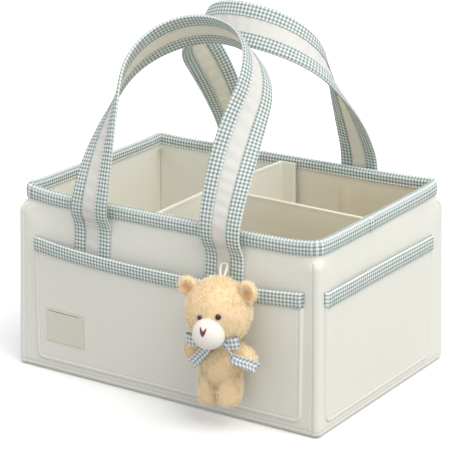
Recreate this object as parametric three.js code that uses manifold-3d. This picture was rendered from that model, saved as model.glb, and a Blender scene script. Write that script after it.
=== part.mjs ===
// Soft-walled nursery basket with two strap handles, lift-out dividers and a hanging plush bear.
// Millimetres, +Z up. The origin is the centre of the underside; the front faces -Y.
import * as THREE from 'three';
import { mergeVertices } from 'three/addons/utils/BufferGeometryUtils.js';
import Module from 'manifold-3d';

const wasm = await Module();
wasm.setup();

// Basket body
const bodyLength = 325;
const bodyWidth = 226;
const bodyHeight = 178;
const cornerRadius = 8;
const rimInsetAlong = 4.5;
const rimInsetAcross = 5.5;
const footSwell = 1.9;
const footSwellHeight = 8;
const wallLean = 3.9;
const shoulderHeight = 12;
const shoulderDrop = 14;
const rimCornerRadius = 12;
const coverThickness = 1.2;
const boardThickness = 2.2;
const baseBoardThickness = 2.5;
const liningThickness = 0.8;
const layerGap = 0.3;
const seamGap = 0.3;
const boardEndGap = 12;
const boardTopGap = 2;

// Rim binding, a checked tape folded over the top edge
const bindingThickness = 1;
const rimBindingDrop = 16;
const rimBindingInnerDrop = 14;
const rimRoll = 2.5;

// Pockets, one on each wall
const pocketThickness = 1.2;
const pocketFoot = 18;
const pocketMouthDrop = 49;
const pocketBow = 7;
const pocketCorner = 8;
const longPocketMargin = 18;
const longPocketOffset = 3;
const endPocketMargin = 17.5;
const endPocketOffset = -8.5;
const pocketTapeThickness = 0.8;
const pocketTapeDrop = 16;
const pocketTapeInnerDrop = 12;

// Bare woven label on the front pocket
const labelWidth = 38;
const labelHeight = 29;
const labelThickness = 0.6;
const labelInset = 13.5;
const labelRise = 13;

// Strap handles: a canvas strap with a checked edging on both edges
const strapWidth = 40;
const strapCoreThickness = 1.6;
const edgingWidth = 12.7;
const edgingThickness = 0.7;
const strapEndThickness = 3;
const strapEndLength = 52;
const hingeDrop = 26;
const hingeLift = 1.9;
const frontHandleCentre = -1.6;
const frontHandleHalfSpacing = 69;
const frontHandleReach = 202.2;
const frontKickLength = 44.5;
const rearHandleCentre = -0.8;
const rearHandleHalfSpacing = 68.8;
const rearHandleReach = 209.8;
const rearKickLength = 51.3;

// Lift-out dividers
const dividerThickness = 3.5;
const dividerDrop = 10;
const dividerFlapWidth = 18;
const dividerFlapThickness = 1.6;
const dividerClearance = 0.6;
const crossDividerPlace = -12.8;
const longDividerPlace = -11;
const hookStripWidth = 14;
const hookStripThickness = 1;
const hookStripMargin = 16;

// Hanging plush bear
const bearShift = 10.2;
const bearStandOff = 9.6;
const bearHang = 123;
const headHalfWidth = 27.5;
const headHalfDepth = 25;
const headHalfHeight = 28;
const headHeight = 93.5;
const earRadius = 8.8;
const earThickness = 7.4;
const earSpread = 27.5;
const earRise = 18.8;
const muzzleHalfWidth = 14;
const muzzleHalfDepth = 12;
const muzzleHalfHeight = 13.2;
const muzzleDrop = 13;
const muzzleSeat = 1.5;
const noseHalfWidth = 3;
const noseHalfHeight = 3.6;
const noseThickness = 2.4;
const noseRise = 6;
const eyeRadius = 2.6;
const eyeSpread = 8.3;
const eyeRise = 2.4;
const torsoRadius = 18;
const torsoHalfDepth = 16;
const torsoFoot = 24;
const torsoTop = 72;
const armLength = 26;
const armRadius = 7.6;
const armSpread = 15.8;
const armHeight = 59;
const legLength = 36;
const legRadius = 10;
const hipSpread = 9.5;
const bearGap = 0.3;
const bowRibbonWidth = 9;
const bowRibbonThickness = 0.9;
const bowLoopLength = 25;
const bowLoopDepth = 3.6;
const bowTailLength = 27;
const bowLongTailLength = 47;
const bowKnotWidth = 6;
const bowKnotHeight = 7;
const bowKnotDepth = 4.5;
const collarRadius = 13.8;
const collarHeight = 67;
const loopShift = 1.6;
const loopTopDrop = 36;
const loopSeatDepth = 14;
const loopSeatShift = 7;
const loopRibbonWidth = 2.1;
const loopTopWidth = 5;
const loopBottomWidth = 7.6;
const loopThickness = 1;
const loopClearance = 0.6;

// Directions and turns, which no size changes
const quarterTurn = Math.PI / 2;
const degree = Math.PI / 180;
const frontRimLeanAngle = 11.7;
const frontTopLeanAngle = 51.9;
const frontKickAngle = 56.8;
const frontTwistAngle = 86.8;
const frontTwistShare = 0.884;
const rearRimLeanAngle = 18.7;
const rearTopLeanAngle = 52.9;
const rearKickAngle = 49.9;
const rearTwistAngle = 105.2;
const rearTwistShare = 1.106;
const bearRollAngle = -3;
const bowLeftLoopAngle = -5;
const bowRightLoopAngle = 16;
const bowLeftTailAngle = 224;
const bowRightTailAngle = -12;
const headTurnAngle = 13;
const headRollAngle = 3.5;
const leftArmSwingAngle = 132;
const rightArmSwingAngle = 115;

// Facet counts and small fit values
const cornerSteps = 4;
const shoulderSteps = 4;
const pocketStepsAlong = 14;
const pocketStepsUp = 6;
const strapSteps = 50;
const weldDistance = 0.001;
const overrun = 20;
const ballStepsAround = 20;
const ballStepsUp = 12;
const headStepsAround = 26;
const headStepsUp = 18;
const beadStepsAround = 10;
const beadStepsUp = 8;
const earStepsAround = 16;
const latheSteps = 20;
const limbSteps = 14;
const collarSteps = 28;
const leanSlices = 40;

// Sizes that follow from those above
const halfLength = bodyLength / 2;
const halfWidth = bodyWidth / 2;
const wallTop = bodyHeight - bindingThickness - layerGap;
const coverFoot = coverThickness + layerGap;
const boardInset = coverThickness + layerGap;
const liningInset = boardInset + boardThickness + layerGap;
const wallThickness = liningInset + liningThickness;
const liningFoot = coverFoot + baseBoardThickness + layerGap;
const floorTop = liningFoot + liningThickness;
const rimInnerReach = wallThickness + layerGap + bindingThickness;
const pocketMouth = bodyHeight - pocketMouthDrop;
const longPocketWidth = bodyLength - 2 * longPocketMargin;
const endPocketWidth = bodyWidth - 2 * endPocketMargin;
const labelLeft = longPocketOffset - longPocketWidth / 2 + labelInset;
const labelFoot = pocketFoot + labelRise;
const hingeHeight = bodyHeight - hingeDrop;
const strapEndFoot = hingeHeight - strapEndLength;
const dividerTop = bodyHeight - dividerDrop;
const loopTopHeight = bodyHeight - loopTopDrop;
const loopPlace = frontHandleCentre + frontHandleHalfSpacing + loopShift;
const bearPlace = loopPlace + bearShift;
const bearBack = halfWidth + bearStandOff;
const bearFootHeight = loopTopHeight - bearHang;

// The four walls: each is built facing -Y and then turned into place
const walls = {
  front: { along: halfLength, across: halfWidth, alongInset: rimInsetAlong, acrossInset: rimInsetAcross, turn: 0 },
  right: { along: halfWidth, across: halfLength, alongInset: rimInsetAcross, acrossInset: rimInsetAlong, turn: 1 },
  back: { along: halfLength, across: halfWidth, alongInset: rimInsetAlong, acrossInset: rimInsetAcross, turn: 2 },
  left: { along: halfWidth, across: halfLength, alongInset: rimInsetAcross, acrossInset: rimInsetAlong, turn: 3 },
};

const pockets = {
  front: { width: longPocketWidth, centre: longPocketOffset },
  right: { width: endPocketWidth, centre: endPocketOffset },
  back: { width: longPocketWidth, centre: 0 },
  left: { width: endPocketWidth, centre: 0 },
};

const finishes = {
  canvas: { color: 0xdedbd0, roughness: 0.92 },
  lining: { color: 0xd8cdb2, roughness: 0.95 },
  board: { color: 0xc9c2b0, roughness: 0.9 },
  gingham: { color: 0x9fb8af, roughness: 0.85 },
  label: { color: 0xf0ede2, roughness: 0.8 },
  strap: { color: 0xe6e2da, roughness: 0.88 },
  hook: { color: 0xe8e6df, roughness: 0.95 },
  plush: { color: 0xe9c48d, roughness: 1 },
  muzzle: { color: 0xf4f2ee, roughness: 0.95 },
  nose: { color: 0x6b2c2c, roughness: 0.6 },
  eye: { color: 0x17120f, roughness: 0.15 },
  bow: { color: 0x93a9b5, roughness: 0.8 },
  ribbon: { color: 0xf1ece0, roughness: 0.5 },
};

function makeMesh(name, finish, geometry) {
  const { color, roughness } = finishes[finish];
  const material = new THREE.MeshStandardMaterial({ color, roughness, metalness: 0 });
  const mesh = new THREE.Mesh(welded(geometry), material);
  mesh.name = name;
  return mesh;
}

// One closed skin: shared corners are merged, and triangles that shrank to a line are dropped
function welded(geometry) {
  const bare = geometry.clone();
  bare.deleteAttribute('normal');
  bare.deleteAttribute('uv');
  const merged = mergeVertices(bare, weldDistance);
  const corners = merged.index.array;
  const kept = [];
  for (let first = 0; first < corners.length; first += 3) {
    const [a, b, c] = corners.slice(first, first + 3);
    if (a !== b && b !== c && c !== a) kept.push(a, b, c);
  }
  merged.setIndex(kept);
  merged.computeVertexNormals();
  return merged;
}

function toSolid(geometry) {
  const skin = welded(geometry);
  return new wasm.Manifold(new wasm.Mesh({
    numProp: 3,
    vertProperties: new Float32Array(skin.attributes.position.array),
    triVerts: new Uint32Array(skin.index.array),
  }));
}

function toGeometry(solid) {
  const { vertProperties, triVerts, numProp } = solid.getMesh();
  const corners = new Float32Array((vertProperties.length / numProp) * 3);
  for (let vertex = 0; vertex < corners.length / 3; vertex += 1) {
    for (let axis = 0; axis < 3; axis += 1) corners[vertex * 3 + axis] = vertProperties[vertex * numProp + axis];
  }
  const geometry = new THREE.BufferGeometry();
  geometry.setAttribute('position', new THREE.BufferAttribute(corners, 3));
  geometry.setIndex(new THREE.BufferAttribute(new Uint32Array(triVerts), 1));
  return geometry;
}

function cut(geometry, ...tools) {
  const solid = tools.reduce((rest, tool) => rest.subtract(toSolid(tool)), toSolid(geometry));
  return toGeometry(solid);
}

function common(geometry, tool) {
  return toGeometry(toSolid(geometry).intersect(toSolid(tool)));
}

function joined(geometry, ...others) {
  return toGeometry(others.reduce((whole, other) => whole.add(toSolid(other)), toSolid(geometry)));
}

// Moves every corner of a geometry by one rule
function reshaped(geometry, rule) {
  const position = geometry.attributes.position;
  const corner = new THREE.Vector3();
  for (let index = 0; index < position.count; index += 1) {
    corner.fromBufferAttribute(position, index);
    const { x, y, z } = rule(corner, index);
    position.setXYZ(index, x, y, z);
  }
  return geometry;
}

function outline(points) {
  return new THREE.Shape(points.map(([x, y]) => new THREE.Vector2(x, y)));
}

function roundedOutline(left, foot, right, top, radius) {
  const shape = new THREE.Shape();
  shape.moveTo(left + radius, foot);
  shape.lineTo(right - radius, foot);
  shape.absarc(right - radius, foot + radius, radius, -quarterTurn, 0);
  shape.lineTo(right, top - radius);
  shape.absarc(right - radius, top - radius, radius, 0, quarterTurn);
  shape.lineTo(left + radius, top);
  shape.absarc(left + radius, top - radius, radius, quarterTurn, 2 * quarterTurn);
  shape.lineTo(left, foot + radius);
  shape.absarc(left + radius, foot + radius, radius, 2 * quarterTurn, 3 * quarterTurn);
  return shape;
}

function prism(shape, depth, steps = 1) {
  return new THREE.ExtrudeGeometry(shape, { depth, steps, bevelEnabled: false, curveSegments: cornerSteps });
}

// The heights at which every layer of a wall bends, so that the layers stay parallel
const shoulderStart = bodyHeight - shoulderDrop - shoulderHeight;
const bends = [0, footSwellHeight / 2, footSwellHeight];
for (let step = 0; step <= shoulderSteps; step += 1) {
  bends.push(shoulderStart + (shoulderHeight * step) / shoulderSteps);
}
bends.push(bodyHeight);

// A rule's value at a height, on straight lines between the bends
function betweenBends(rule, height) {
  const above = Math.max(1, bends.findIndex((bend) => bend >= height));
  const [low, high] = [bends[above - 1], bends[above]];
  const share = (height - low) / (high - low);
  return rule(low) * (1 - share) + rule(high) * share;
}

// 0 below the shoulder under the rim binding, rising to 1 above it
function shoulderAt(height) {
  return THREE.MathUtils.smoothstep((height - shoulderStart) / shoulderHeight, 0, 1);
}

// How far a wall lies outside its base line at a height: it steps out over the base seam, leans in
// as it rises, and draws in at the shoulder
function drift(inset, height) {
  return betweenBends((bend) => {
    const short = 1 - Math.min(1, bend / footSwellHeight);
    const lean = footSwell * (1 - short ** 2) - (wallLean * bend) / bodyHeight;
    return lean - (inset + footSwell - wallLean) * shoulderAt(bend);
  }, height);
}

function runOfHeights(foot, top) {
  return [foot, ...bends.filter((bend) => bend > foot && bend < top), top];
}

// A point at a distance along a wall, outward from its face, and at a height, with the wall facing -Y
function onWall(wall, along, outward, height) {
  const spread = 1 + drift(wall.acrossInset, height) / wall.across;
  return new THREE.Vector3(along, -(wall.across + outward) * spread, height);
}

// The stops round the basket's four corners, anticlockwise, each with its outward direction
function planStops() {
  const stops = [];
  const corners = [[1, -1], [1, 1], [-1, 1], [-1, -1]];
  corners.forEach(([sideways, forward], corner) => {
    for (let step = 0; step <= cornerSteps; step += 1) {
      const angle = quarterTurn * (corner - 1 + step / cornerSteps);
      stops.push({ sideways, forward, outX: Math.cos(angle), outY: Math.sin(angle) });
    }
  });
  return stops;
}

// A stop's place at a height and a distance outward; the corners are rounder above the shoulder
function planPoint(wall, stop, outward, height) {
  const radius = cornerRadius + (rimCornerRadius - cornerRadius) * betweenBends(shoulderAt, height);
  const x = stop.sideways * (wall.along - radius) + stop.outX * (radius + outward);
  const y = stop.forward * (wall.across - radius) + stop.outY * (radius + outward);
  return new THREE.Vector3(
    x * (1 + drift(wall.alongInset, height) / wall.along),
    y * (1 + drift(wall.acrossInset, height) / wall.across),
    height,
  );
}

// A closed section of (outward, height) points carried once round the basket
function ringAround(wall, section) {
  const stops = planStops();
  const profile = section.map(([outward, height]) => new THREE.Vector2(wall.along + outward, height));
  profile.push(profile[0].clone());
  return reshaped(new THREE.LatheGeometry(profile, stops.length), (corner, index) => {
    const stop = stops[Math.floor(index / profile.length) % stops.length];
    const [outward, height] = section[(index % profile.length) % section.length];
    return planPoint(wall, stop, outward, height);
  });
}

// A layer of the wall between two insets from its face
function layerSection(outerInset, innerInset, foot, top) {
  const heights = runOfHeights(foot, top);
  const outer = heights.map((height) => [-outerInset, height]);
  const inner = heights.map((height) => [-innerInset, height]).reverse();
  return [...outer, ...inner];
}

// The space that belongs to one wall, up to the mitres through its two corners
function wallSector(wall) {
  const shape = outline([
    [-(wall.along + overrun - seamGap), -(wall.across + overrun)],
    [wall.along + overrun - seamGap, -(wall.across + overrun)],
    [wall.along - overrun - seamGap, -(wall.across - overrun)],
    [-(wall.along - overrun - seamGap), -(wall.across - overrun)],
  ]);
  return prism(shape, bodyHeight);
}

function coverGeometry(wall) {
  const section = layerSection(0, coverThickness, coverFoot, wallTop);
  return common(ringAround(wall, section), wallSector(wall));
}

function boardGeometry(wall) {
  const reach = wall.along - boardEndGap;
  const section = layerSection(boardInset, boardInset + boardThickness, liningFoot, wallTop - boardTopGap);
  const block = new THREE.BoxGeometry(2 * reach, wall.across, 2 * bodyHeight);
  block.translate(0, -wall.across, 0);
  return common(ringAround(wall, section), block);
}

// How far a pocket stands off its wall at a place on it: most at the middle of its mouth
function pocketStandOff(pocket, along, height) {
  const rise = (height - pocketFoot) / (pocketMouth - pocketFoot);
  const sideways = (along - pocket.centre) / (pocket.width / 2);
  const seat = layerGap + (pocketTapeThickness + layerGap) * rise;
  return seat + pocketBow * (1 - sideways ** 4) * Math.max(rise, 0);
}

function pocketGeometry(wall, pocket) {
  const height = pocketMouth - pocketFoot;
  const panel = new THREE.BoxGeometry(pocket.width, pocketThickness, height, pocketStepsAlong, 1, pocketStepsUp);
  panel.translate(pocket.centre, -pocketThickness / 2, height / 2 + pocketFoot);
  reshaped(panel, (corner) => (
    onWall(wall, corner.x, pocketStandOff(pocket, corner.x, corner.z) - corner.y, corner.z)
  ));
  const left = pocket.centre - pocket.width / 2;
  const right = pocket.centre + pocket.width / 2;
  const face = prism(roundedOutline(left, pocketFoot, right, pocketMouth + pocketCorner, pocketCorner), wall.across);
  face.rotateX(quarterTurn);
  face.translate(0, -wall.across / 2, 0);
  return common(panel, face);
}

// The checked tape folded over a pocket's mouth
function pocketTapeGeometry(wall, pocket) {
  const inner = pocketThickness + layerGap;
  const outer = inner + pocketTapeThickness;
  const top = pocketTapeThickness + layerGap;
  const section = outline([
    [-outer, -pocketTapeDrop],
    [-inner, -pocketTapeDrop],
    [-inner, layerGap],
    [layerGap, layerGap],
    [layerGap, -pocketTapeInnerDrop],
    [layerGap + pocketTapeThickness, -pocketTapeInnerDrop],
    [layerGap + pocketTapeThickness, top],
    [-outer, top],
  ]);
  return reshaped(prism(section, pocket.width, pocketStepsAlong), (corner) => {
    const along = corner.z - pocket.width / 2 + pocket.centre;
    const height = pocketMouth + corner.y;
    return onWall(wall, along, pocketStandOff(pocket, along, height) - corner.x, height);
  });
}

function labelGeometry(wall, pocket) {
  const tag = new THREE.BoxGeometry(labelWidth, labelThickness, labelHeight, 2, 1, 2);
  tag.translate(labelLeft + labelWidth / 2, -labelThickness / 2 - pocketThickness - layerGap, 0);
  tag.translate(0, 0, labelFoot + labelHeight / 2);
  return reshaped(tag, (corner) => (
    onWall(wall, corner.x, pocketStandOff(pocket, corner.x, corner.z) - corner.y, corner.z)
  ));
}

// The sewn end of a handle strap, flat on the wall from inside the pocket up to the stitch row
function strapEndGeometry(wall, place) {
  const height = hingeHeight - strapEndFoot;
  const end = new THREE.BoxGeometry(strapWidth, strapEndThickness, height, 1, 1, 4);
  end.translate(place, -strapEndThickness / 2 - layerGap, strapEndFoot + height / 2);
  return reshaped(end, (corner) => onWall(wall, corner.x, -corner.y, corner.z));
}

// A handle: the strap stands on the stitch rows, kicks out over the rim, leans in and turns a
// quarter as it rounds the top. Its route is an upside-down U laid on that leaning surface.
const handles = {
  front: {
    wall: walls.front,
    centre: frontHandleCentre,
    half: frontHandleHalfSpacing,
    reach: frontHandleReach,
    rimLean: frontRimLeanAngle,
    topLean: frontTopLeanAngle,
    kick: frontKickAngle,
    kickLength: frontKickLength,
    twist: frontTwistAngle,
    twistShare: frontTwistShare,
  },
  rear: {
    wall: walls.back,
    centre: -rearHandleCentre,
    half: rearHandleHalfSpacing,
    reach: rearHandleReach,
    rimLean: rearRimLeanAngle,
    topLean: rearTopLeanAngle,
    kick: rearKickAngle,
    kickLength: rearKickLength,
    twist: rearTwistAngle,
    twistShare: rearTwistShare,
  },
};

function leanAt(handle, rise) {
  const share = rise / handle.reach;
  const steady = handle.rimLean + (handle.topLean - handle.rimLean) * share;
  const kick = handle.kick * Math.max(0, 1 - rise / handle.kickLength) ** 2;
  return (steady - kick) * degree;
}

// The point on the leaning surface at a rise from the stitch row, with the way up it
function surfaceAt(handle, rise) {
  const foot = onWall(handle.wall, 0, layerGap + strapEndThickness / 2, hingeHeight);
  const point = new THREE.Vector3(0, foot.y, hingeHeight + hingeLift);
  for (let slice = 0; slice < leanSlices; slice += 1) {
    const lean = leanAt(handle, (rise * (slice + 0.5)) / leanSlices);
    point.y += (Math.sin(lean) * rise) / leanSlices;
    point.z += (Math.cos(lean) * rise) / leanSlices;
  }
  const lean = leanAt(handle, rise);
  return { point, up: new THREE.Vector3(0, Math.sin(lean), Math.cos(lean)) };
}

// Place and directions of the strap at a share of its length
function strapFrame(handle, share) {
  const straight = handle.reach - handle.half;
  const halfRoute = straight + quarterTurn * handle.half;
  const mirrored = share > 0.5;
  const travel = 2 * halfRoute * (mirrored ? 1 - share : share);
  const angle = Math.max(0, travel - straight) / handle.half;
  const rise = travel < straight ? travel : straight + handle.half * Math.sin(angle);
  const { point, up } = surfaceAt(handle, rise);
  const sideways = new THREE.Vector3(1, 0, 0);
  const forward = sideways.clone().multiplyScalar(Math.sin(angle)).addScaledVector(up, Math.cos(angle));
  const inward = sideways.clone().multiplyScalar(Math.cos(angle)).addScaledVector(up, -Math.sin(angle));
  const facing = new THREE.Vector3(0, -up.z, up.y);
  const twisted = Math.min(1, travel / halfRoute / handle.twistShare);
  const twist = handle.twist * degree * (1 - Math.cos(Math.PI * twisted)) / 2;
  const across = inward.multiplyScalar(Math.cos(twist)).addScaledVector(facing, Math.sin(twist));
  point.x = -handle.half * Math.cos(angle);
  if (mirrored) {
    point.x = -point.x;
    across.x = -across.x;
    forward.y = -forward.y;
    forward.z = -forward.z;
  }
  point.x += handle.centre;
  return { point, across, through: new THREE.Vector3().crossVectors(forward, across) };
}

// A section in (across, through) carried along the strap, in shorter steps near its two ends
function alongStrap(handle, section) {
  const endCrowdingShare = 0.6;
  return reshaped(prism(section, 1, strapSteps), (corner) => {
    const share = corner.z - (endCrowdingShare * Math.sin(2 * Math.PI * corner.z)) / (2 * Math.PI);
    const { point, across, through } = strapFrame(handle, share);
    return point.addScaledVector(across, corner.x).addScaledVector(through, corner.y);
  });
}

// The strap's section, with its faces split where the edgings end, so that they twist evenly
function strapSection(grow) {
  const edge = strapWidth / 2 - edgingThickness - layerGap + grow;
  const split = strapWidth / 2 - edgingWidth - layerGap;
  const half = strapCoreThickness / 2 + grow;
  return outline([
    [-edge, -half], [-split, -half], [split, -half], [edge, -half],
    [edge, half], [split, half], [-split, half], [-edge, half],
  ]);
}

function strapGeometry(handle) {
  return alongStrap(handle, strapSection(0));
}

// A tape folded over one edge of the strap, with the strap's own shape cut out of it
function edgingGeometry(handle, side) {
  const edge = strapWidth / 2;
  const inner = edge - edgingWidth;
  const half = strapCoreThickness / 2 + layerGap + edgingThickness;
  const [left, right] = side > 0 ? [inner, edge] : [-edge, -inner];
  const block = alongStrap(handle, outline([[left, -half], [right, -half], [right, half], [left, half]]));
  return cut(block, alongStrap(handle, strapSection(layerGap)));
}

function makeWall(name) {
  const wall = walls[name];
  const pocket = pockets[name];
  const group = new THREE.Group();
  group.rotation.z = quarterTurn * wall.turn;
  group.add(
    makeMesh(`${name}_cover`, 'canvas', coverGeometry(wall)),
    makeMesh(`${name}_board`, 'board', boardGeometry(wall)),
    makeMesh(`${name}_pocket`, 'canvas', pocketGeometry(wall, pocket)),
    makeMesh(`${name}_pocket_binding`, 'gingham', pocketTapeGeometry(wall, pocket)),
  );
  return group;
}

function makeHandle(name) {
  const handle = handles[name];
  const group = new THREE.Group();
  group.rotation.z = quarterTurn * handle.wall.turn;
  const ends = [['left', -1], ['right', 1]];
  ends.forEach(([side, way]) => {
    const place = handle.centre + way * handle.half;
    const title = `${name}_strap_end_${side}`;
    group.add(makeMesh(title, 'strap', strapEndGeometry(handle.wall, place)));
  });
  group.add(
    makeMesh(`${name}_handle_strap`, 'strap', strapGeometry(handle)),
    makeMesh(`${name}_handle_upper_edging`, 'gingham', edgingGeometry(handle, 1)),
    makeMesh(`${name}_handle_lower_edging`, 'gingham', edgingGeometry(handle, -1)),
  );
  return group;
}

function basePlate(name, finish, inset, foot, thickness) {
  const radius = cornerRadius - inset;
  const length = halfLength - inset;
  const width = halfWidth - inset;
  const plate = makeMesh(name, finish, prism(roundedOutline(-length, -width, length, width, radius), thickness));
  plate.position.z = foot;
  return plate;
}

function makeLining() {
  const outside = layerSection(liningInset, wallThickness, liningFoot, wallTop);
  const inset = liningInset + liningThickness / 2;
  const radius = cornerRadius - inset;
  const length = halfLength + drift(rimInsetAlong, liningFoot) - inset;
  const width = halfWidth + drift(rimInsetAcross, liningFoot) - inset;
  const floor = prism(roundedOutline(-length, -width, length, width, radius), liningThickness);
  floor.translate(0, 0, liningFoot);
  return makeMesh('lining', 'lining', joined(ringAround(walls.front, outside), floor));
}

function makeRimBinding() {
  const outer = layerGap + bindingThickness;
  const inner = -rimInnerReach;
  const face = (outward, drop, top) => runOfHeights(bodyHeight - drop, top).map((height) => [outward, height]);
  const section = [
    ...face(outer, rimBindingDrop, bodyHeight - rimRoll),
    [outer - rimRoll / 4, bodyHeight - rimRoll / 4],
    [outer - rimRoll, bodyHeight],
    [inner + rimRoll, bodyHeight],
    [inner + rimRoll / 4, bodyHeight - rimRoll / 4],
    ...face(inner, rimBindingInnerDrop, bodyHeight - rimRoll).reverse(),
    ...face(inner + bindingThickness, rimBindingInnerDrop, bodyHeight - bindingThickness),
    ...face(layerGap, rimBindingDrop, bodyHeight - bindingThickness).reverse(),
  ];
  return makeMesh('rim_binding', 'gingham', ringAround(walls.front, section));
}

// Dividers: upright panels with a flap folded sideways at each end and a hook strip on each flap
const hookReach = hookStripThickness + layerGap;
const crossReach = halfWidth - rimInsetAcross - rimInnerReach - dividerClearance;
const crossFlapFace = crossReach - hookReach;
const crossLeft = crossDividerPlace - dividerThickness / 2;
const crossRight = crossLeft + dividerThickness;
const longStart = crossRight + layerGap + hookReach;
const longEnd = halfLength - rimInsetAlong - rimInnerReach - dividerClearance - hookReach;
const longFront = longDividerPlace - dividerThickness / 2;
const dividerFoot = floorTop + layerGap;
const dividerHeight = dividerTop - dividerFoot;
const hookHeight = dividerHeight - 2 * hookStripMargin;

// A panel from start to end along X with both flaps folded to +Y, seen from above
function flappedPanel(start, end) {
  return prism(outline([
    [start, 0],
    [end, 0],
    [end, dividerFlapWidth],
    [end - dividerFlapThickness, dividerFlapWidth],
    [end - dividerFlapThickness, dividerThickness],
    [start + dividerFlapThickness, dividerThickness],
    [start + dividerFlapThickness, dividerFlapWidth],
    [start, dividerFlapWidth],
  ]), dividerHeight);
}

function makeHookStrip(name, x, y, turned) {
  const sizes = [hookStripWidth, hookStripThickness];
  if (turned) sizes.reverse();
  const strip = makeMesh(name, 'hook', new THREE.BoxGeometry(...sizes, hookHeight));
  strip.position.set(x, y, dividerFoot + dividerHeight / 2);
  return strip;
}

function makeCrossDivider() {
  const panel = makeMesh('cross_divider_panel', 'canvas', flappedPanel(-crossFlapFace, crossFlapFace));
  panel.rotation.z = -quarterTurn;
  panel.position.set(crossLeft, 0, dividerFoot);
  const hookPlace = crossLeft + dividerFlapWidth - hookStripWidth / 2;
  const hookAcross = crossReach - hookStripThickness / 2;
  return [
    panel,
    makeHookStrip('cross_divider_front_hook_strip', hookPlace, -hookAcross, false),
    makeHookStrip('cross_divider_back_hook_strip', hookPlace, hookAcross, false),
  ];
}

function makeLongDivider() {
  const panel = makeMesh('long_divider_panel', 'canvas', flappedPanel(longStart, longEnd));
  panel.position.set(0, longFront, dividerFoot);
  const hookPlace = longFront + dividerFlapWidth - hookStripWidth / 2;
  const leftHook = longStart - layerGap - hookStripThickness / 2;
  const rightHook = longEnd + layerGap + hookStripThickness / 2;
  return [
    panel,
    makeHookStrip('long_divider_left_hook_strip', leftHook, hookPlace, true),
    makeHookStrip('long_divider_right_hook_strip', rightHook, hookPlace, true),
  ];
}

// Bear forms, each in the bear's own frame: feet on z = 0, facing -Y, back towards the pocket
const headCentre = new THREE.Vector3(0, -headHalfDepth, headHeight);
const torsoDepthPlace = -torsoHalfDepth - bearGap;

function ball(centre, halfWidthX, halfDepthY, halfHeightZ, around = ballStepsAround, up = ballStepsUp) {
  const form = new THREE.SphereGeometry(1, around, up);
  form.rotateX(quarterTurn);
  form.scale(halfWidthX, halfDepthY, halfHeightZ);
  return form.translate(centre.x, centre.y, centre.z);
}

// Cheeks: the head is fuller below its middle
function headForm(grow) {
  const cheekShare = 0.07;
  const form = ball(
    new THREE.Vector3(), headHalfWidth + grow, headHalfDepth + grow, headHalfHeight + grow, headStepsAround, headStepsUp,
  );
  reshaped(form, (corner) => {
    const swell = 1 - cheekShare * (corner.z / headHalfHeight);
    return new THREE.Vector3(corner.x * swell, corner.y, corner.z);
  });
  return form.translate(headCentre.x, headCentre.y, headCentre.z);
}

// A pear shape for the torso, with its neck inside the head
function torsoForm(grow) {
  const shares = [[0, 0], [0.55, 0.02], [0.86, 0.14], [1, 0.34], [0.96, 0.52], [0.8, 0.72], [0.66, 0.86], [0, 1]];
  const span = torsoTop - torsoFoot;
  const profile = shares.map(([radiusShare, heightShare]) => (
    new THREE.Vector2(radiusShare * (torsoRadius + grow), torsoFoot - grow + heightShare * (span + 2 * grow))
  ));
  const form = new THREE.LatheGeometry(profile, latheSteps);
  form.rotateX(quarterTurn);
  form.scale(1, torsoHalfDepth / torsoRadius, 1);
  return form.translate(0, torsoDepthPlace, 0);
}

// A limb that tapers from its root at z = 0 to a rounded paw
function limbForm(length, radius) {
  const shares = [[0, 0], [0.62, 0.02], [0.8, 0.16], [0.94, 0.42], [1, 0.68], [0.86, 0.87], [0.5, 0.97], [0, 1]];
  const profile = shares.map(([radiusShare, lengthShare]) => (
    new THREE.Vector2(radiusShare * radius, lengthShare * length)
  ));
  const form = new THREE.LatheGeometry(profile, limbSteps);
  return form.rotateX(quarterTurn);
}

function armForm(side) {
  const outwardSwing = side < 0 ? leftArmSwingAngle : rightArmSwingAngle;
  const forwardSwing = 12;
  const form = limbForm(armLength, armRadius);
  form.rotateX(forwardSwing * degree);
  form.rotateY(side * outwardSwing * degree);
  return form.translate(side * armSpread, torsoDepthPlace, armHeight);
}

function legForm(side) {
  const splay = 178;
  const form = limbForm(legLength, legRadius);
  form.rotateY(side * splay * degree);
  return form.translate(side * hipSpread, torsoDepthPlace, legLength);
}

// Turns a form about the head's centre, as the head sits a little turned and rolled
function withHead(form) {
  form.translate(-headCentre.x, -headCentre.y, -headCentre.z);
  form.rotateY(-headRollAngle * degree);
  form.rotateZ(headTurnAngle * degree);
  return form.translate(headCentre.x, headCentre.y, headCentre.z);
}

function earForm(side) {
  const place = new THREE.Vector3(side * earSpread, headCentre.y, headCentre.z + earRise);
  return withHead(ball(place, earRadius, earThickness / 2, earRadius, earStepsAround, beadStepsAround));
}

function muzzleForm(grow) {
  const place = new THREE.Vector3(0, headCentre.y - headHalfDepth + muzzleSeat, headCentre.z - muzzleDrop);
  return withHead(ball(place, muzzleHalfWidth + grow, muzzleHalfDepth + grow, muzzleHalfHeight + grow));
}

function noseForm() {
  const depth = muzzleHalfDepth * Math.sqrt(1 - (noseRise / muzzleHalfHeight) ** 2);
  const front = headCentre.y - headHalfDepth + muzzleSeat - depth;
  const place = new THREE.Vector3(0, front, headCentre.z - muzzleDrop + noseRise);
  return withHead(ball(place, noseHalfWidth, noseThickness, noseHalfHeight, beadStepsAround, beadStepsUp));
}

// Where the head's face lies at a place on it
function faceDepth(x, z) {
  const share = 1 - (x / headHalfWidth) ** 2 - ((z - headCentre.z) / headHalfHeight) ** 2;
  return headCentre.y - headHalfDepth * Math.sqrt(share);
}

function eyeForm(side) {
  const x = side * eyeSpread;
  const z = headCentre.z + eyeRise;
  return withHead(ball(new THREE.Vector3(x, faceDepth(x, z), z), eyeRadius, eyeRadius, eyeRadius, beadStepsAround, beadStepsUp));
}

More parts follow.
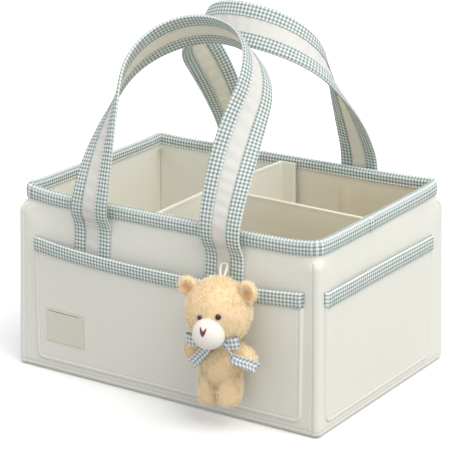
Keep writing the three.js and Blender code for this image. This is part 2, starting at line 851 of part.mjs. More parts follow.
// Bow at the neck
const bowFront = torsoDepthPlace - torsoHalfDepth;
const knotCentre = new THREE.Vector3(2, bowFront - bowKnotDepth / 2, collarHeight);

function knotForm(grow) {
  return ball(knotCentre, bowKnotWidth / 2 + grow, bowKnotDepth / 2 + grow, bowKnotHeight / 2 + grow, beadStepsAround, beadStepsUp);
}

function collarForm() {
  const half = bowRibbonWidth / 3;
  const inner = collarRadius;
  const outer = collarRadius + bowRibbonThickness;
  const profile = [
    [inner, -half], [outer, -half], [outer, half], [inner, half], [inner, -half],
  ].map(([radius, height]) => new THREE.Vector2(radius, height));
  const form = new THREE.LatheGeometry(profile, collarSteps);
  form.rotateX(quarterTurn);
  form.scale(1, torsoHalfDepth / torsoRadius, 1);
  return form.translate(0, torsoDepthPlace, collarHeight);
}

// A ribbon folded back on itself: a flat teardrop ring, seen from above, as tall as the ribbon is wide
function bowLoopForm(side, lift) {
  const length = bowLoopLength;
  const half = bowLoopDepth / 2;
  const wall = bowRibbonThickness;
  const shape = new THREE.Shape();
  shape.moveTo(0, wall);
  shape.quadraticCurveTo(length / 2, 2 * half - wall, length, 0);
  shape.quadraticCurveTo(length / 2, wall - 2 * half, 0, -wall);
  const form = prism(shape, bowRibbonWidth);
  form.translate(bowKnotWidth / 2 + bearGap, 0, -bowRibbonWidth / 2);
  form.rotateY(-lift * degree);
  if (side < 0) form.rotateZ(Math.PI);
  return form.translate(knotCentre.x, knotCentre.y, knotCentre.z);
}

// A loose ribbon end with a notched tip
function bowTailForm(length, turn) {
  const half = bowRibbonWidth / 2;
  const notch = bowRibbonWidth / 3;
  const shape = outline([
    [0, -half * 0.7], [length, -half], [length - notch, 0], [length, half], [0, half * 0.7],
  ]);
  const form = prism(shape, bowRibbonThickness);
  form.rotateX(quarterTurn);
  form.translate(bowKnotWidth / 2, -bowLoopDepth / 2 - bearGap, 0);
  form.rotateY(-turn * degree);
  return form.translate(knotCentre.x, knotCentre.y, knotCentre.z);
}

function makeBear() {
  const group = new THREE.Group();
  const head = headForm(bearGap);
  const torso = torsoForm(bearGap);
  const muzzle = muzzleForm(bearGap);
  const add = (name, finish, geometry) => group.add(makeMesh(name, finish, geometry));
  add('bear_head', 'plush', headForm(0));
  add('bear_torso', 'plush', cut(torsoForm(0), head));
  add('bear_muzzle', 'muzzle', cut(muzzleForm(0), head));
  add('bear_nose', 'nose', cut(noseForm(), muzzle));
  const collar = collarForm();
  const knot = knotForm(bearGap);
  const loops = [bowLoopForm(-1, bowLeftLoopAngle), bowLoopForm(1, bowRightLoopAngle)];
  const tails = [bowTailForm(bowTailLength, bowLeftTailAngle), bowTailForm(bowLongTailLength, bowRightTailAngle)];
  add('bow_collar', 'bow', cut(collar, head, torso, knot));
  add('bow_knot', 'bow', cut(knotForm(0), head, muzzle, torso));
  add('bow_left_loop', 'bow', cut(loops[0], head, muzzle, torso, knot, collar));
  add('bow_right_loop', 'bow', cut(loops[1], head, muzzle, torso, knot, collar));
  add('bow_left_tail', 'bow', cut(tails[0], head, muzzle, torso, knot, collar));
  add('bow_right_tail', 'bow', cut(tails[1], head, muzzle, torso, knot, collar));
  [['left', -1], ['right', 1]].forEach(([name, side]) => {
    add(`bear_${name}_ear`, 'plush', cut(earForm(side), head));
    add(`bear_${name}_eye`, 'eye', cut(eyeForm(side), head, muzzle));
    add(`bear_${name}_arm`, 'plush', cut(armForm(side), head, torso, collar));
    add(`bear_${name}_leg`, 'plush', cut(legForm(side), torso));
  });
  group.position.set(bearPlace, -bearBack, bearFootHeight);
  group.rotation.y = -bearRollAngle * degree;
  return group;
}

// The ribbon loop that the bear hangs by: sewn to the right strap end, its two feet sewn to the head
function makeBearLoop(bear) {
  bear.updateMatrix();
  const share = Math.sqrt(1 - (loopSeatDepth / headHalfDepth) ** 2 - (loopSeatShift / headHalfWidth) ** 2);
  const seat = new THREE.Vector3(-loopSeatShift, headCentre.y + loopSeatDepth, headCentre.z + headHalfHeight * share);
  seat.applyMatrix4(bear.matrix);
  const top = onWall(walls.front, loopPlace, 2 * layerGap + strapEndThickness + loopThickness / 2, loopTopHeight);
  const down = seat.clone().sub(top);
  const length = down.length();
  down.normalize();
  const across = new THREE.Vector3(1, 0, 0).addScaledVector(down, -down.x).normalize();
  const out = new THREE.Vector3().crossVectors(across, down);
  const end = length + loopSeatDepth / 2;
  const shape = new THREE.Shape();
  shape.moveTo(-loopBottomWidth / 2, end);
  shape.lineTo(-loopTopWidth / 2, loopTopWidth / 2);
  shape.quadraticCurveTo(0, -loopTopWidth / 2, loopTopWidth / 2, loopTopWidth / 2);
  shape.lineTo(loopBottomWidth / 2, end);
  shape.lineTo(loopBottomWidth / 2 - loopRibbonWidth, end);
  shape.lineTo(loopTopWidth / 2 - loopRibbonWidth, loopTopWidth);
  shape.lineTo(loopRibbonWidth - loopTopWidth / 2, loopTopWidth);
  shape.lineTo(loopRibbonWidth - loopBottomWidth / 2, end);
  const ribbon = prism(shape, loopThickness);
  ribbon.translate(0, 0, -loopThickness / 2);
  ribbon.applyMatrix4(new THREE.Matrix4().makeBasis(across, down, out).setPosition(top));
  return makeMesh('bear_loop', 'ribbon', cut(ribbon, headForm(loopClearance).applyMatrix4(bear.matrix)));
}

const bear = makeBear();
const caddy = new THREE.Group();
Object.keys(walls).forEach((name) => caddy.add(makeWall(name)));
caddy.add(
  basePlate('base_cover', 'canvas', 0, 0, coverThickness),
  basePlate('base_board', 'board', boardInset, coverFoot, baseBoardThickness),
  makeLining(),
  makeRimBinding(),
  makeMesh('label', 'label', labelGeometry(walls.front, pockets.front)),
  makeHandle('front'),
  makeHandle('rear'),
  ...makeCrossDivider(),
  ...makeLongDivider(),
  bear,
  makeBearLoop(bear),
);

export default caddy;
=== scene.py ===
# %% [markdown]
# A nursery basket is mostly flat cloth that was cut, folded over board and sewn, with one stuffed toy
# hung on it. Almost every piece here therefore starts as a grid, which is a piece of cloth lying flat,
# and is then bent into its place. A grid keeps a clean pair of cloth directions, so that a woven
# check can follow every fold.

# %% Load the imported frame
import math
from functools import partial

import bpy
import numpy as np
from mathutils import Matrix, Vector


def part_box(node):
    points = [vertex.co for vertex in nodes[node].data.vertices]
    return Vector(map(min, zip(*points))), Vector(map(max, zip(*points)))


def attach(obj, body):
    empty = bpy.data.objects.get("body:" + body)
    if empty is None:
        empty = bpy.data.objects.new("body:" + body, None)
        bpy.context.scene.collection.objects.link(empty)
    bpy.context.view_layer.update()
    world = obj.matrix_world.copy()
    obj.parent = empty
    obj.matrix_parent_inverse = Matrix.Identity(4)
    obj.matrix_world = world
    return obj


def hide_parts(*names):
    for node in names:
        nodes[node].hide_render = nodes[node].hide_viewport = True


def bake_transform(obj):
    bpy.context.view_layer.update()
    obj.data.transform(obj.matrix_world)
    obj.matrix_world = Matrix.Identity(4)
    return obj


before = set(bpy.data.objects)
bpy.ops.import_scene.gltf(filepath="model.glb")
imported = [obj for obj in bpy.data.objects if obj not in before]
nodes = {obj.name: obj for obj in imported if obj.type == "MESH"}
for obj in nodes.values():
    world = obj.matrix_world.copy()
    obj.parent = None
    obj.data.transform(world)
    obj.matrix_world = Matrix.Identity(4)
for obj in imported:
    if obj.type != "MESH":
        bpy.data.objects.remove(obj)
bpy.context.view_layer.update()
MM = 0.001
seed = np.random.default_rng(7)
print("solids loaded:", len(nodes))

# %% [markdown]
# The camera comes first. Its place was found from the basket's corners in the photograph, so the
# picture of a finished piece can be laid over the photograph at once. A long lens keeps the upright
# edges nearly parallel.

# %% Camera
camera_turn, camera_rise = math.radians(33.23), math.radians(17.72)
bpy.ops.object.camera_add(
    location=(0.9363, -1.41903, 0.67383),
    rotation=(math.pi / 2 - camera_rise, 0, camera_turn),
)
camera = bpy.context.object
camera.data.sensor_width = 36
camera.data.lens = 146.08
bpy.context.scene.camera = camera
print("camera distance in metres:", round(camera.location.length, 3))

# %% [markdown]
# The light is a plain soft studio light: an even sky, and one broad lamp high on the right that
# leaves the front in gentle shade. The floor is pale, and where the camera looks past the object it
# sees white. The lamp level is set so that a colour renders about as it is written.

# %% Light and floor
lamp_direction = Vector((0.56, -0.14, 0.816))
bpy.ops.object.light_add(type="SUN", location=(0.6, 0, 1))
lamp = bpy.context.object
lamp.rotation_euler = lamp_direction.to_track_quat("Z", "Y").to_euler()
lamp.data.energy = 1.72
lamp.data.angle = math.radians(50)
lamp.data.color = (1.0, 0.985, 0.96)

scene = bpy.context.scene
scene.view_settings.view_transform = "Standard"
world = bpy.data.worlds.new("studio")
scene.world = world
world.use_nodes = True
sky_nodes, sky_links = world.node_tree.nodes, world.node_tree.links
soft_sky = sky_nodes["Background"]
soft_sky.inputs["Color"].default_value = (0.97, 0.985, 1.0, 1)
soft_sky.inputs["Strength"].default_value = 0.82
white_sky = sky_nodes.new("ShaderNodeBackground")
white_sky.inputs["Color"].default_value = (1, 1, 1, 1)
ray = sky_nodes.new("ShaderNodeLightPath")
seen = ray.outputs["Is Camera Ray"]
for kind in ("Is Glossy Ray", "Is Transmission Ray"):
    either = sky_nodes.new("ShaderNodeMath")
    either.operation = "MAXIMUM"
    sky_links.new(seen, either.inputs[0])
    sky_links.new(ray.outputs[kind], either.inputs[1])
    seen = either.outputs[0]
choose_sky = sky_nodes.new("ShaderNodeMixShader")
for index, source in enumerate((seen, soft_sky.outputs[0], white_sky.outputs[0])):
    sky_links.new(source, choose_sky.inputs[index])
sky_links.new(choose_sky.outputs[0], sky_nodes["World Output"].inputs["Surface"])

bpy.ops.object.select_all(action="DESELECT")
bpy.ops.mesh.primitive_grid_add(x_subdivisions=2, y_subdivisions=2, size=60, location=(0, 0, 0))
floor = bpy.context.object
floor.name = "floor"
print("floor and lamp are set")

# %% [markdown]
# Materials are small networks of nodes. Written as plain expressions they stay readable, so one small
# class wraps a socket and lets Python's own signs add the nodes, and another makes a material and
# adds any other node. Colours always go through a mix, since arithmetic would turn them grey.

# %% Shader helpers
def colour(red, green, blue):
    """A colour given as it looks on a screen, 0 to 255, in the light values that nodes use."""
    parts = [value / 255 for value in (red, green, blue)]
    return (*[p / 12.92 if p <= 0.04045 else ((p + 0.055) / 1.055) ** 2.4 for p in parts], 1)


class Wire:
    """One socket of a material, which Python's signs can join to another."""

    def __init__(self, finish, socket):
        self.finish, self.socket = finish, socket

    def maths(self, operation, first, second=0.0, clamp=False):
        settings = {"operation": operation, "use_clamp": clamp}
        return self.finish.node("ShaderNodeMath", settings, {0: first, 1: second})

    def __add__(self, other):
        return self.maths("ADD", self, other)

    def __sub__(self, other):
        return self.maths("SUBTRACT", self, other)

    def __rsub__(self, other):
        return self.maths("SUBTRACT", other, self)

    def __mul__(self, other):
        return self.maths("MULTIPLY", self, other)

    def __abs__(self):
        return self.maths("ABSOLUTE", self)

    def sine(self):
        return self.maths("SINE", self)

    def clamped(self):
        return self.maths("ADD", self, 0.0, clamp=True)


class Finish:
    """A material, with one method that adds any node to it."""

    def __init__(self, name, gloss=None, **fixed):
        self.material = bpy.data.materials.new(name)
        self.material.use_nodes = True
        self.tree = self.material.node_tree
        self.shader = self.tree.nodes["Principled BSDF"]
        self.bumps = None
        for key, value in fixed.items():
            self.shader.inputs[key.replace("_", " ")].default_value = value
        if gloss is not None:
            self.shader.inputs["Specular IOR Level"].default_value = gloss

    def node(self, kind, settings=None, inputs=None, output=0):
        node = self.tree.nodes.new(kind)
        for key, value in (settings or {}).items():
            if key == "stops":
                for index, (place, tint) in enumerate(value):
                    ramp = node.color_ramp.elements
                    stop = ramp[index] if index < 2 else ramp.new(place)
                    stop.position, stop.color = place, tint
            else:
                setattr(node, key, value)
        for key, value in (inputs or {}).items():
            self.join(value, node.inputs[key])
        return Wire(self, node.outputs[output])

    def join(self, value, socket):
        if isinstance(value, Wire):
            self.tree.links.new(value.socket, socket)
        else:
            socket.default_value = value

    def mix(self, share, first, second):
        """Mixes wires or colours. Three numbers are a colour as it looks on a screen, 0 to 255."""
        first, second = (
            colour(*tint) if isinstance(tint, tuple) and len(tint) == 3 else tint for tint in (first, second)
        )
        return self.node("ShaderNodeMix", {"data_type": "RGBA"}, {0: share, 6: first, 7: second}, 2)

    def cloth_directions(self):
        """Distances in metres along and across the cloth, from the piece's own map."""
        place = self.node("ShaderNodeTexCoord", output="UV")
        split = self.node("ShaderNodeSeparateXYZ", inputs={0: place}).socket.node
        return Wire(self, split.outputs[0]), Wire(self, split.outputs[1])

    def place(self, kind="Object"):
        return self.node("ShaderNodeTexCoord", output=kind)

    def noise(self, scale, detail=3.0, vector=None, roughness=0.5):
        inputs = {"Vector": vector or self.place(), "Scale": scale, "Detail": detail, "Roughness": roughness}
        return self.node("ShaderNodeTexNoise", inputs=inputs, output="Fac")

    def bump(self, height, depth, strength=1.0):
        """Adds relief: height runs 0 to 1, and depth is its real size in metres."""
        inputs = {"Height": height, "Distance": depth, "Strength": strength}
        if self.bumps:
            inputs["Normal"] = self.bumps
        self.bumps = self.node("ShaderNodeBump", inputs=inputs)

    def finish(self, tint, roughness=None):
        self.join(tint, self.shader.inputs["Base Color"])
        if roughness is not None:
            self.join(roughness, self.shader.inputs["Roughness"])
        if self.bumps:
            self.join(self.bumps, self.shader.inputs["Normal"])
        return self.material


def weave(finish, pitch):
    """Relief of a plain weave: in every second cell the other thread lies on top."""
    along, across = finish.cloth_directions()
    one = (along * (math.pi / pitch)).sine()
    other = (across * (math.pi / pitch)).sine()
    over = (one * other * 6 + 0.5).clamped()
    warp = abs(one) * (abs(other) * 0.4 + 0.6)
    weft = abs(other) * (abs(one) * 0.4 + 0.6)
    return over * warp + (1 - over) * weft


print("shader helpers are ready")

# %% [markdown]
# The floor's own material stays diffuse, so it takes the object's shadow. Its colour is nearly white
# for the camera and a little greyer for light that bounces back up to the object.

# %% Floor finish
ground = Finish("studio_floor", gloss=0.0, Roughness=1.0)
camera_sees = ground.node("ShaderNodeLightPath", output="Is Camera Ray")
floor.data.materials.append(
    ground.finish(ground.mix(camera_sees, (0.5, 0.5, 0.49, 1), (1, 1, 1, 1)))
)
ground.join(ground.mix(camera_sees, (0, 0, 0, 1), (1, 1, 1, 1)), ground.shader.inputs["Emission Color"])
ground.shader.inputs["Emission Strength"].default_value = 0.03
print("floor finish is set")

# %% [markdown]
# The basket's outer cloth is a smooth cotton canvas over board. Close up it shows a fine plain weave,
# from further off only a faint mottling where the yarn is uneven. The lining is the same idea in a
# warmer and softer cloth. All are made with one function, because only the colours and scales differ.
# The straps are lined too: on their inner face the map is moved a metre across, which tells the
# material to use the warm colours there. Towards the object's right the lining gets darker, yellower
# colours: painted shade where the right wall shades the inside.

# %% Canvas, lining and strap cloth
def make_woven(name, base, shade, pitch, relief, inner=None, right=None):
    """Canvas in two shades, with others on a lined inner face, and painted shade towards the right."""
    cloth_finish = Finish(name, gloss=0.18, Roughness=0.92, Sheen_Weight=0.12, Sheen_Roughness=0.6)
    threads = weave(cloth_finish, pitch)
    cloud = cloth_finish.noise(9.0, 4.0)
    slub_place = cloth_finish.node(
        "ShaderNodeVectorMath", {"operation": "MULTIPLY"},
        {0: cloth_finish.place("UV"), 1: (90, 1300, 1)},
    )
    slub = cloth_finish.noise(1.0, 2.0, slub_place)
    tone = (cloud * 0.35 + slub * 0.25 + (1 - threads) * 0.22).clamped()
    tint = cloth_finish.mix(tone, base, shade)
    if inner:
        inside = ((cloth_finish.cloth_directions()[1] - 0.5) * 1000).clamped()
        tint = cloth_finish.mix(inside, tint, cloth_finish.mix(tone, *inner))
    # Painted shade: darker, yellower colours towards the object's right, where the right wall shades the
    # inside
    if right:
        spot = cloth_finish.node("ShaderNodeSeparateXYZ", inputs={0: cloth_finish.place()})
        tint = cloth_finish.mix((spot * 12 + 0.3).clamped(), tint, cloth_finish.mix(tone, *right))
    cloth_finish.bump(cloth_finish.noise(28.0, 3.0), 0.0009, 0.35)
    cloth_finish.bump(threads * 0.8 + slub * 0.2, relief, 0.8)
    return cloth_finish.finish(tint, (cloud * 0.12 + 0.86).clamped())


canvas = make_woven("cream_canvas", (245, 244, 237), (222, 220, 209), 0.00055, 0.00012)
# The lining's second pair of colours is painted shade towards the right
lining_cloth = make_woven(
    "warm_lining", (254, 252, 242), (243, 240, 226), 0.0005, 0.0001,
    right=((243, 236, 214), (229, 220, 197)),
)
# A lighter copy of the lining for the cross divider, which is the same cloth: painted light
lighter_lining_copy = make_woven("painted_light_lining", (254, 252, 240), (247, 243, 228), 0.0005, 0.0001)
strap_cloth = make_woven(
    "strap_canvas", (237, 235, 230), (216, 212, 207), 0.0006, 0.00014,
    inner=((254, 250, 236), (242, 236, 218)),
)
print("woven finishes: 4")

# %% [markdown]
# Gingham is woven from dyed and undyed yarn in both directions. Where two dyed bands cross it is dark,
# where one crosses an undyed band it is half as dark, and elsewhere it is white. Two soft square
# waves, one along the tape and one across it, therefore give the whole check, and they read the
# piece's own map so that the check turns with every fold. A tape can also have a narrow white line
# at a given distance across it, where it's folded: a painted highlight along the fold's crest.

# %% Gingham
def make_gingham(name, period, white, middle, dark, fold=None):
    """A check of a given repeat in metres. A fold is a painted highlight's place and half width, in mm."""
    check = Finish(name, gloss=0.2, Roughness=0.86, Sheen_Weight=0.1, Sheen_Roughness=0.6)
    along, across = check.cloth_directions()
    wobble = check.noise(160.0, 2.0) * 0.5 - 0.25
    bands = []
    for distance in (along, across):
        wave = (distance * (2 * math.pi / period) + wobble).sine()
        bands.append((wave * 2.6 + 0.5).clamped())
    threads = weave(check, 0.00042)
    pale = check.mix(bands[0], white, middle)
    full = check.mix(bands[0], middle, dark)
    tint = check.mix(bands[1], pale, full)
    tint = check.mix((1 - threads) * 0.14, tint, dark)
    tint = check.mix(check.noise(120.0, 3.0) * 0.25, tint, white)
    # Painted highlight: a narrow white line along the fold, where it catches the light
    if fold:
        place, half_width = fold
        beside = abs(across - place * MM) * (1 / (half_width * MM))
        tint = check.mix(((1.0 - beside) * 2).clamped() * 0.45, tint, white)
    check.bump(threads, 0.0001, 0.8)
    check.bump(check.noise(60.0, 2.0), 0.0005, 0.3)
    return check.finish(tint)


green = ((252, 253, 252), (184, 197, 192), (94, 123, 118))
# The last numbers place each tape's painted highlight along its fold
strap_gingham = make_gingham("strap_gingham", 0.0034, *green, fold=(13.6, 0.9))
rim_gingham = make_gingham("rim_gingham", 0.0034, *green, fold=(11.4, 1.0))
pocket_gingham = make_gingham("pocket_gingham", 0.0034, *green, fold=(12.2, 0.9))
bow_gingham = make_gingham("blue_gingham", 0.0035, (250, 250, 250), (196, 204, 208), (122, 136, 147))
print("gingham finishes: 4")

# %% [markdown]
# The small parts each need their own surface: pressed board with flecks, a satin label, a brushed
# hook tape, velour and embroidery on the toy's face, glossy eyes and a plain sewing thread. A dark
# thread paints the shadow line under the label's folded top.

# %% Small finishes
def make_flecked(name, base, fleck, scale, rough, relief, **fixed):
    flecked = Finish(name, Roughness=rough, **fixed)
    grain = flecked.noise(scale, 5.0, roughness=0.7)
    spots = flecked.node(
        "ShaderNodeValToRGB", {"stops": [(0.35, (0, 0, 0, 1)), (0.75, (1, 1, 1, 1))]}, {"Fac": grain}
    )
    flecked.bump(grain, relief, 0.6)
    return flecked.finish(flecked.mix(spots, base, fleck))


board = make_flecked("pressed_board", (196, 182, 152), (158, 140, 108), 700.0, 0.9, 0.0001)
hook_tape = make_flecked("hook_tape", (238, 235, 226), (206, 202, 190), 1500.0, 0.9, 0.0003)
velour = make_flecked(
    "white_velour", (250, 245, 236), (238, 230, 219), 900.0, 0.95, 0.0003, Sheen_Weight=0.4
)
spun = (2200.0, 0.7, 0.00005)
thread = make_flecked("sewing_thread", (206, 216, 210), (160, 178, 170), *spun)
pale_thread = make_flecked("pale_thread", (232, 229, 218), (206, 202, 190), *spun)
painted_shadow_thread = make_flecked("painted_shadow_thread", (84, 84, 78), (62, 62, 58), *spun)
ribbon = make_flecked("pale_ribbon", (246, 241, 226), (226, 218, 196), 1200.0, 0.5, 0.00006)

satin = Finish("label_satin", Roughness=0.45, Sheen_Weight=0.2)
satin_along, satin_across = satin.cloth_directions()
satin_warp = abs((satin_along * (math.pi / 0.00035)).sine())
satin_weft = abs((satin_across * (math.pi / 0.0007)).sine())
satin.bump(satin_warp * 0.5 + satin_weft, 0.00006, 0.7)
satin_tone = satin.noise(40.0) * 0.6 + satin_weft * 0.2
label_satin = satin.finish(satin.mix(satin_tone, (230, 229, 216), (210, 208, 192)))

stitched_nose = Finish("nose_thread", Roughness=0.45, Sheen_Weight=0.3)
nose_lines = stitched_nose.node(
    "ShaderNodeTexWave", {"bands_direction": "Z"},
    {"Vector": stitched_nose.place(), "Scale": 700.0, "Distortion": 1.5},
)
stitched_nose.bump(nose_lines, 0.0003, 0.8)
nose_thread = stitched_nose.finish(stitched_nose.mix(nose_lines, (96, 28, 30), (150, 58, 54)))

glass = Finish("eye_gloss", Roughness=0.16, Coat_Weight=0.3)
eye_gloss = glass.finish(glass.mix(glass.noise(240.0, 2.0), (44, 24, 16), (14, 9, 8)))
print("small finishes: 10")

# %% [markdown]
# Plush is thousands of fine curled fibres. Each is darker near its root, where less light reaches, and
# pale at its tip. The fibres will be real, thin strips, whose map runs from 0 at the root to 1 at the
# tip, and the cloth they stand on has the root's shade.

# %% Plush
fur = Finish("honey_plush", gloss=0.15, Roughness=0.95, Sheen_Weight=0.8, Sheen_Roughness=0.4)
warm_share, tip_share = fur.cloth_directions()
patch = fur.noise(60.0, 4.0)
root_shade = fur.mix(patch, (250, 220, 172), (255, 230, 190))
tip_shade = fur.mix(patch, (255, 242, 212), (255, 249, 227))
fur.bump(fur.noise(900.0, 4.0), 0.0006, 0.6)
pile_shade = fur.mix((tip_share * 1.25).clamped(), root_shade, tip_shade)
plush = fur.finish(fur.mix(warm_share.clamped(), pile_shade, (246, 206, 156)))
print("plush finish is set")

# %% [markdown]
# Every cloth piece is made by one helper. A grid primitive is added, and each of its corners is moved
# to where a rule puts it: the rule gets the distance along and across the flat cloth. The same two
# distances, in metres, become the piece's map. Solidify then gives the cloth its thickness, which
# goes inwards, so the outer face is exactly where the rule says.

# %% Cloth helper
def start_clean():
    if bpy.context.object and bpy.context.object.mode != "OBJECT":
        bpy.ops.object.mode_set(mode="OBJECT")
    bpy.ops.object.select_all(action="DESELECT")


def make_only(piece):
    start_clean()
    piece.select_set(True)
    bpy.context.view_layer.objects.active = piece


def corners_of(mesh):
    points = np.zeros(len(mesh.vertices) * 3, np.float32)
    mesh.vertices.foreach_get("co", points)
    return points.reshape(-1, 3).astype(float)


def move_corners(mesh, points):
    mesh.vertices.foreach_set("co", np.asarray(points, np.float32).ravel())
    mesh.update()


def apply_modifier(piece, kind, **settings):
    make_only(piece)
    modifier = piece.modifiers.new(kind.lower(), kind)
    for key, value in settings.items():
        setattr(modifier, key, value)
    bpy.ops.object.modifier_apply(modifier=modifier.name)


def smooth_faces(piece, angle=38):
    make_only(piece)
    bpy.ops.object.shade_smooth_by_angle(angle=math.radians(angle))


def repair(piece, merge=False, fill=False, outward=False):
    """Joins a cloth's edges where they meet, closes its open ends or turns its faces outward."""
    make_only(piece)
    bpy.ops.object.mode_set(mode="EDIT")
    bpy.ops.mesh.select_all(action="SELECT")
    if merge:
        bpy.ops.mesh.remove_doubles(threshold=0.00001)
    if fill:
        bpy.ops.mesh.fill_holes(sides=0)
    if outward:
        bpy.ops.mesh.select_all(action="SELECT")
        bpy.ops.mesh.normals_make_consistent(inside=False)
    bpy.ops.object.mode_set(mode="OBJECT")


def well_apart(numbers, least=0.06):
    """Drops numbers that lie too close to the one before, and keeps the first and the last."""
    kept = [float(numbers[0])]
    for number in numbers[1:-1]:
        if number - kept[-1] > least and numbers[-1] - number > least:
            kept.append(float(number))
    return np.array([*kept, float(numbers[-1])])


def corner_numbers(mesh):
    """The number of the corner that each loop of a mesh stands at."""
    loops = np.zeros(len(mesh.loops), np.int32)
    mesh.loops.foreach_get("vertex_index", loops)
    return loops


def cloth(name, alongs, acrosses, rule, thickness=0.0, offset=-1.0, closed=False, even=True):
    """A piece of cloth whose corners, at distances along and across it, a rule puts in place."""
    alongs, acrosses = well_apart(alongs), well_apart(acrosses)
    start_clean()
    bpy.ops.mesh.primitive_grid_add(
        x_subdivisions=len(alongs) - 1, y_subdivisions=len(acrosses) - 1, size=2, location=(0, 0, 0)
    )
    piece = bpy.context.object
    piece.name = piece.data.name = name
    mesh = piece.data
    flat = corners_of(mesh)
    column = np.rint((flat[:, 0] + 1) / 2 * (len(alongs) - 1)).astype(int)
    row = np.rint((flat[:, 1] + 1) / 2 * (len(acrosses) - 1)).astype(int)
    move_corners(mesh, rule(alongs[column], acrosses[row]) * MM)
    loops = corner_numbers(mesh)
    chart = np.stack([alongs[column[loops]], acrosses[row[loops]]], 1) * MM
    mesh.uv_layers[0].data.foreach_set("uv", chart.astype(np.float32).ravel())
    if closed:
        repair(piece, merge=True)
    if thickness:
        apply_modifier(piece, "SOLIDIFY", thickness=thickness * MM, offset=offset, use_even_offset=even)
    smooth_faces(piece)
    return piece


def hand_over(piece, finish, slot, body, *replaced):
    """Gives a finished piece its material, its body and the solids it stands for. Slot is not used."""
    piece.data.materials.clear()
    piece.data.materials.append(finish)
    if replaced:
        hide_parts(*replaced)
    if isinstance(body, str):
        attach(piece, body)
    else:
        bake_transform(piece)
    return piece


def spaced(start, end, step):
    """Numbers from start to end, about one step apart."""
    return np.linspace(start, end, max(2, int(round(abs(end - start) / step)) + 1))


def stops(*parts):
    """Numbers and lists of numbers as one rising list without repeats."""
    return np.unique(np.round(np.concatenate([np.atleast_1d(part) for part in parts]), 4))


def mirrored(middle, *parts):
    """Stops on both sides of the middle ones: parts are given on the right side."""
    return stops(middle, *parts, *[-np.asarray(part) for part in parts])


def soft_step(value):
    value = np.clip(value, 0, 1)
    return value * value * (3 - 2 * value)


def hump(distance, half_width):
    """A smooth ridge, 1 at distance 0 and 0 from half_width on."""
    return 1 - soft_step(np.abs(distance) / half_width)


class Path:
    """A line through points, which gives the place at any length along it."""

    def __init__(self, points):
        self.points = np.asarray(points, float)
        steps = np.linalg.norm(np.diff(self.points, axis=0), axis=1)
        self.lengths = np.concatenate([[0], np.cumsum(steps)])
        self.length = self.lengths[-1]

    def at(self, length):
        return [np.interp(length, self.lengths, part) for part in self.points.T]


print("cloth helper is ready")

# %% [markdown]
# The basket isn't a plain box. Its walls step out just above the base seam, lean in a little as they
# rise, and draw in at a soft shoulder under the rim tape, where the stiff board ends. Between the
# corners the rim sags a few millimetres. These rules give any place on a wall, and every layer uses
# them, so the layers stay parallel.

# %% The basket's own shape
BODY_LENGTH, BODY_WIDTH, BODY_HEIGHT = 325, 226, 178
CORNER_RADIUS, LEAST_RADIUS = 5.5, 0.6
FOOT_SWELL, FOOT_SWELL_HEIGHT, WALL_LEAN = 1.9, 8, 3.9
SHOULDER_START, SHOULDER_HEIGHT = 152, 12
SAG_START, SAG_HEIGHT = 132, 42
LAYER_GAP, WALL_THICKNESS = 0.3, 4.8
HALF_LENGTH, HALF_WIDTH = BODY_LENGTH / 2, BODY_WIDTH / 2


class Wall:
    """One wall, seen as if it faced the front. Turns count quarter turns to its real place.

    Dips are how far the rim hangs down at the wall's left end, its right end and between them, and
    rim radii say how round the rim is at the two ends.
    """

    def __init__(self, along, across, along_inset, across_inset, turns, dips, rim_radii):
        self.along, self.across, self.turns = along, across, turns
        self.left_radius, self.right_radius = rim_radii
        self.left_dip, self.right_dip, self.middle_dip = dips
        self.along_inset, self.across_inset = along_inset, across_inset
        self.straight = along - CORNER_RADIUS
        self.arc = CORNER_RADIUS * math.pi / 4
        self.half_span = self.straight + self.arc
        self.start = 0.0


WALLS = {
    "front": Wall(HALF_LENGTH, HALF_WIDTH, 4.5, 5.5, 0, (2.0, 2.6, 4.0), (12, 7.5)),
    "right": Wall(HALF_WIDTH, HALF_LENGTH, 5.5, 4.5, 1, (2.6, 0.0, 1.8), (7.5, 9)),
    "back": Wall(HALF_LENGTH, HALF_WIDTH, 4.5, 5.5, 2, (0.0, 1.0, 1.6), (9, 8)),
    "left": Wall(HALF_WIDTH, HALF_LENGTH, 5.5, 4.5, 3, (1.0, 2.0, 1.6), (8, 12)),
}
RING_LENGTH = 0.0
for wall in WALLS.values():
    wall.start = RING_LENGTH
    RING_LENGTH += 2 * wall.half_span


def shoulder_at(height, ease=0.0):
    """Share of the shoulder's inset at a height. Ease 1 is its longest and gentlest form."""
    return soft_step((height - SHOULDER_START + 58 * ease) / (SHOULDER_HEIGHT + 68 * ease))


def drift(inset, height, ease=0.0):
    """How far a wall lies outside its base line at a height."""
    short = 1 - np.clip(height / FOOT_SWELL_HEIGHT, 0, 1)
    lean = FOOT_SWELL * (1 - short**2) - WALL_LEAN * height / BODY_HEIGHT
    return lean - (inset + FOOT_SWELL - WALL_LEAN) * shoulder_at(height, ease)


def sag(wall, span, height):
    """How far the soft rim hangs down at a place."""
    share = span / wall.half_span
    level = (wall.left_dip * (1 - share) + wall.right_dip * (1 + share)) / 2
    level = level + wall.middle_dip * (1 - share**8)
    return level * soft_step((height - SAG_START) / SAG_HEIGHT)


def turned(points, turns):
    for _ in range(turns % 4):
        points = np.stack([-points[:, 1], points[:, 0], points[:, 2]], 1)
    return points


def on_wall(wall, along, outward, height, ease=0.0):
    """A place on a wall's flat face, pushed outward from it."""
    along, outward, height = np.broadcast_arrays(np.atleast_1d(along), outward, height)
    across = -(wall.across + outward) * (1 + drift(wall.across_inset, height, ease) / wall.across)
    return turned(np.stack([along, across, height], 1).astype(float), wall.turns)


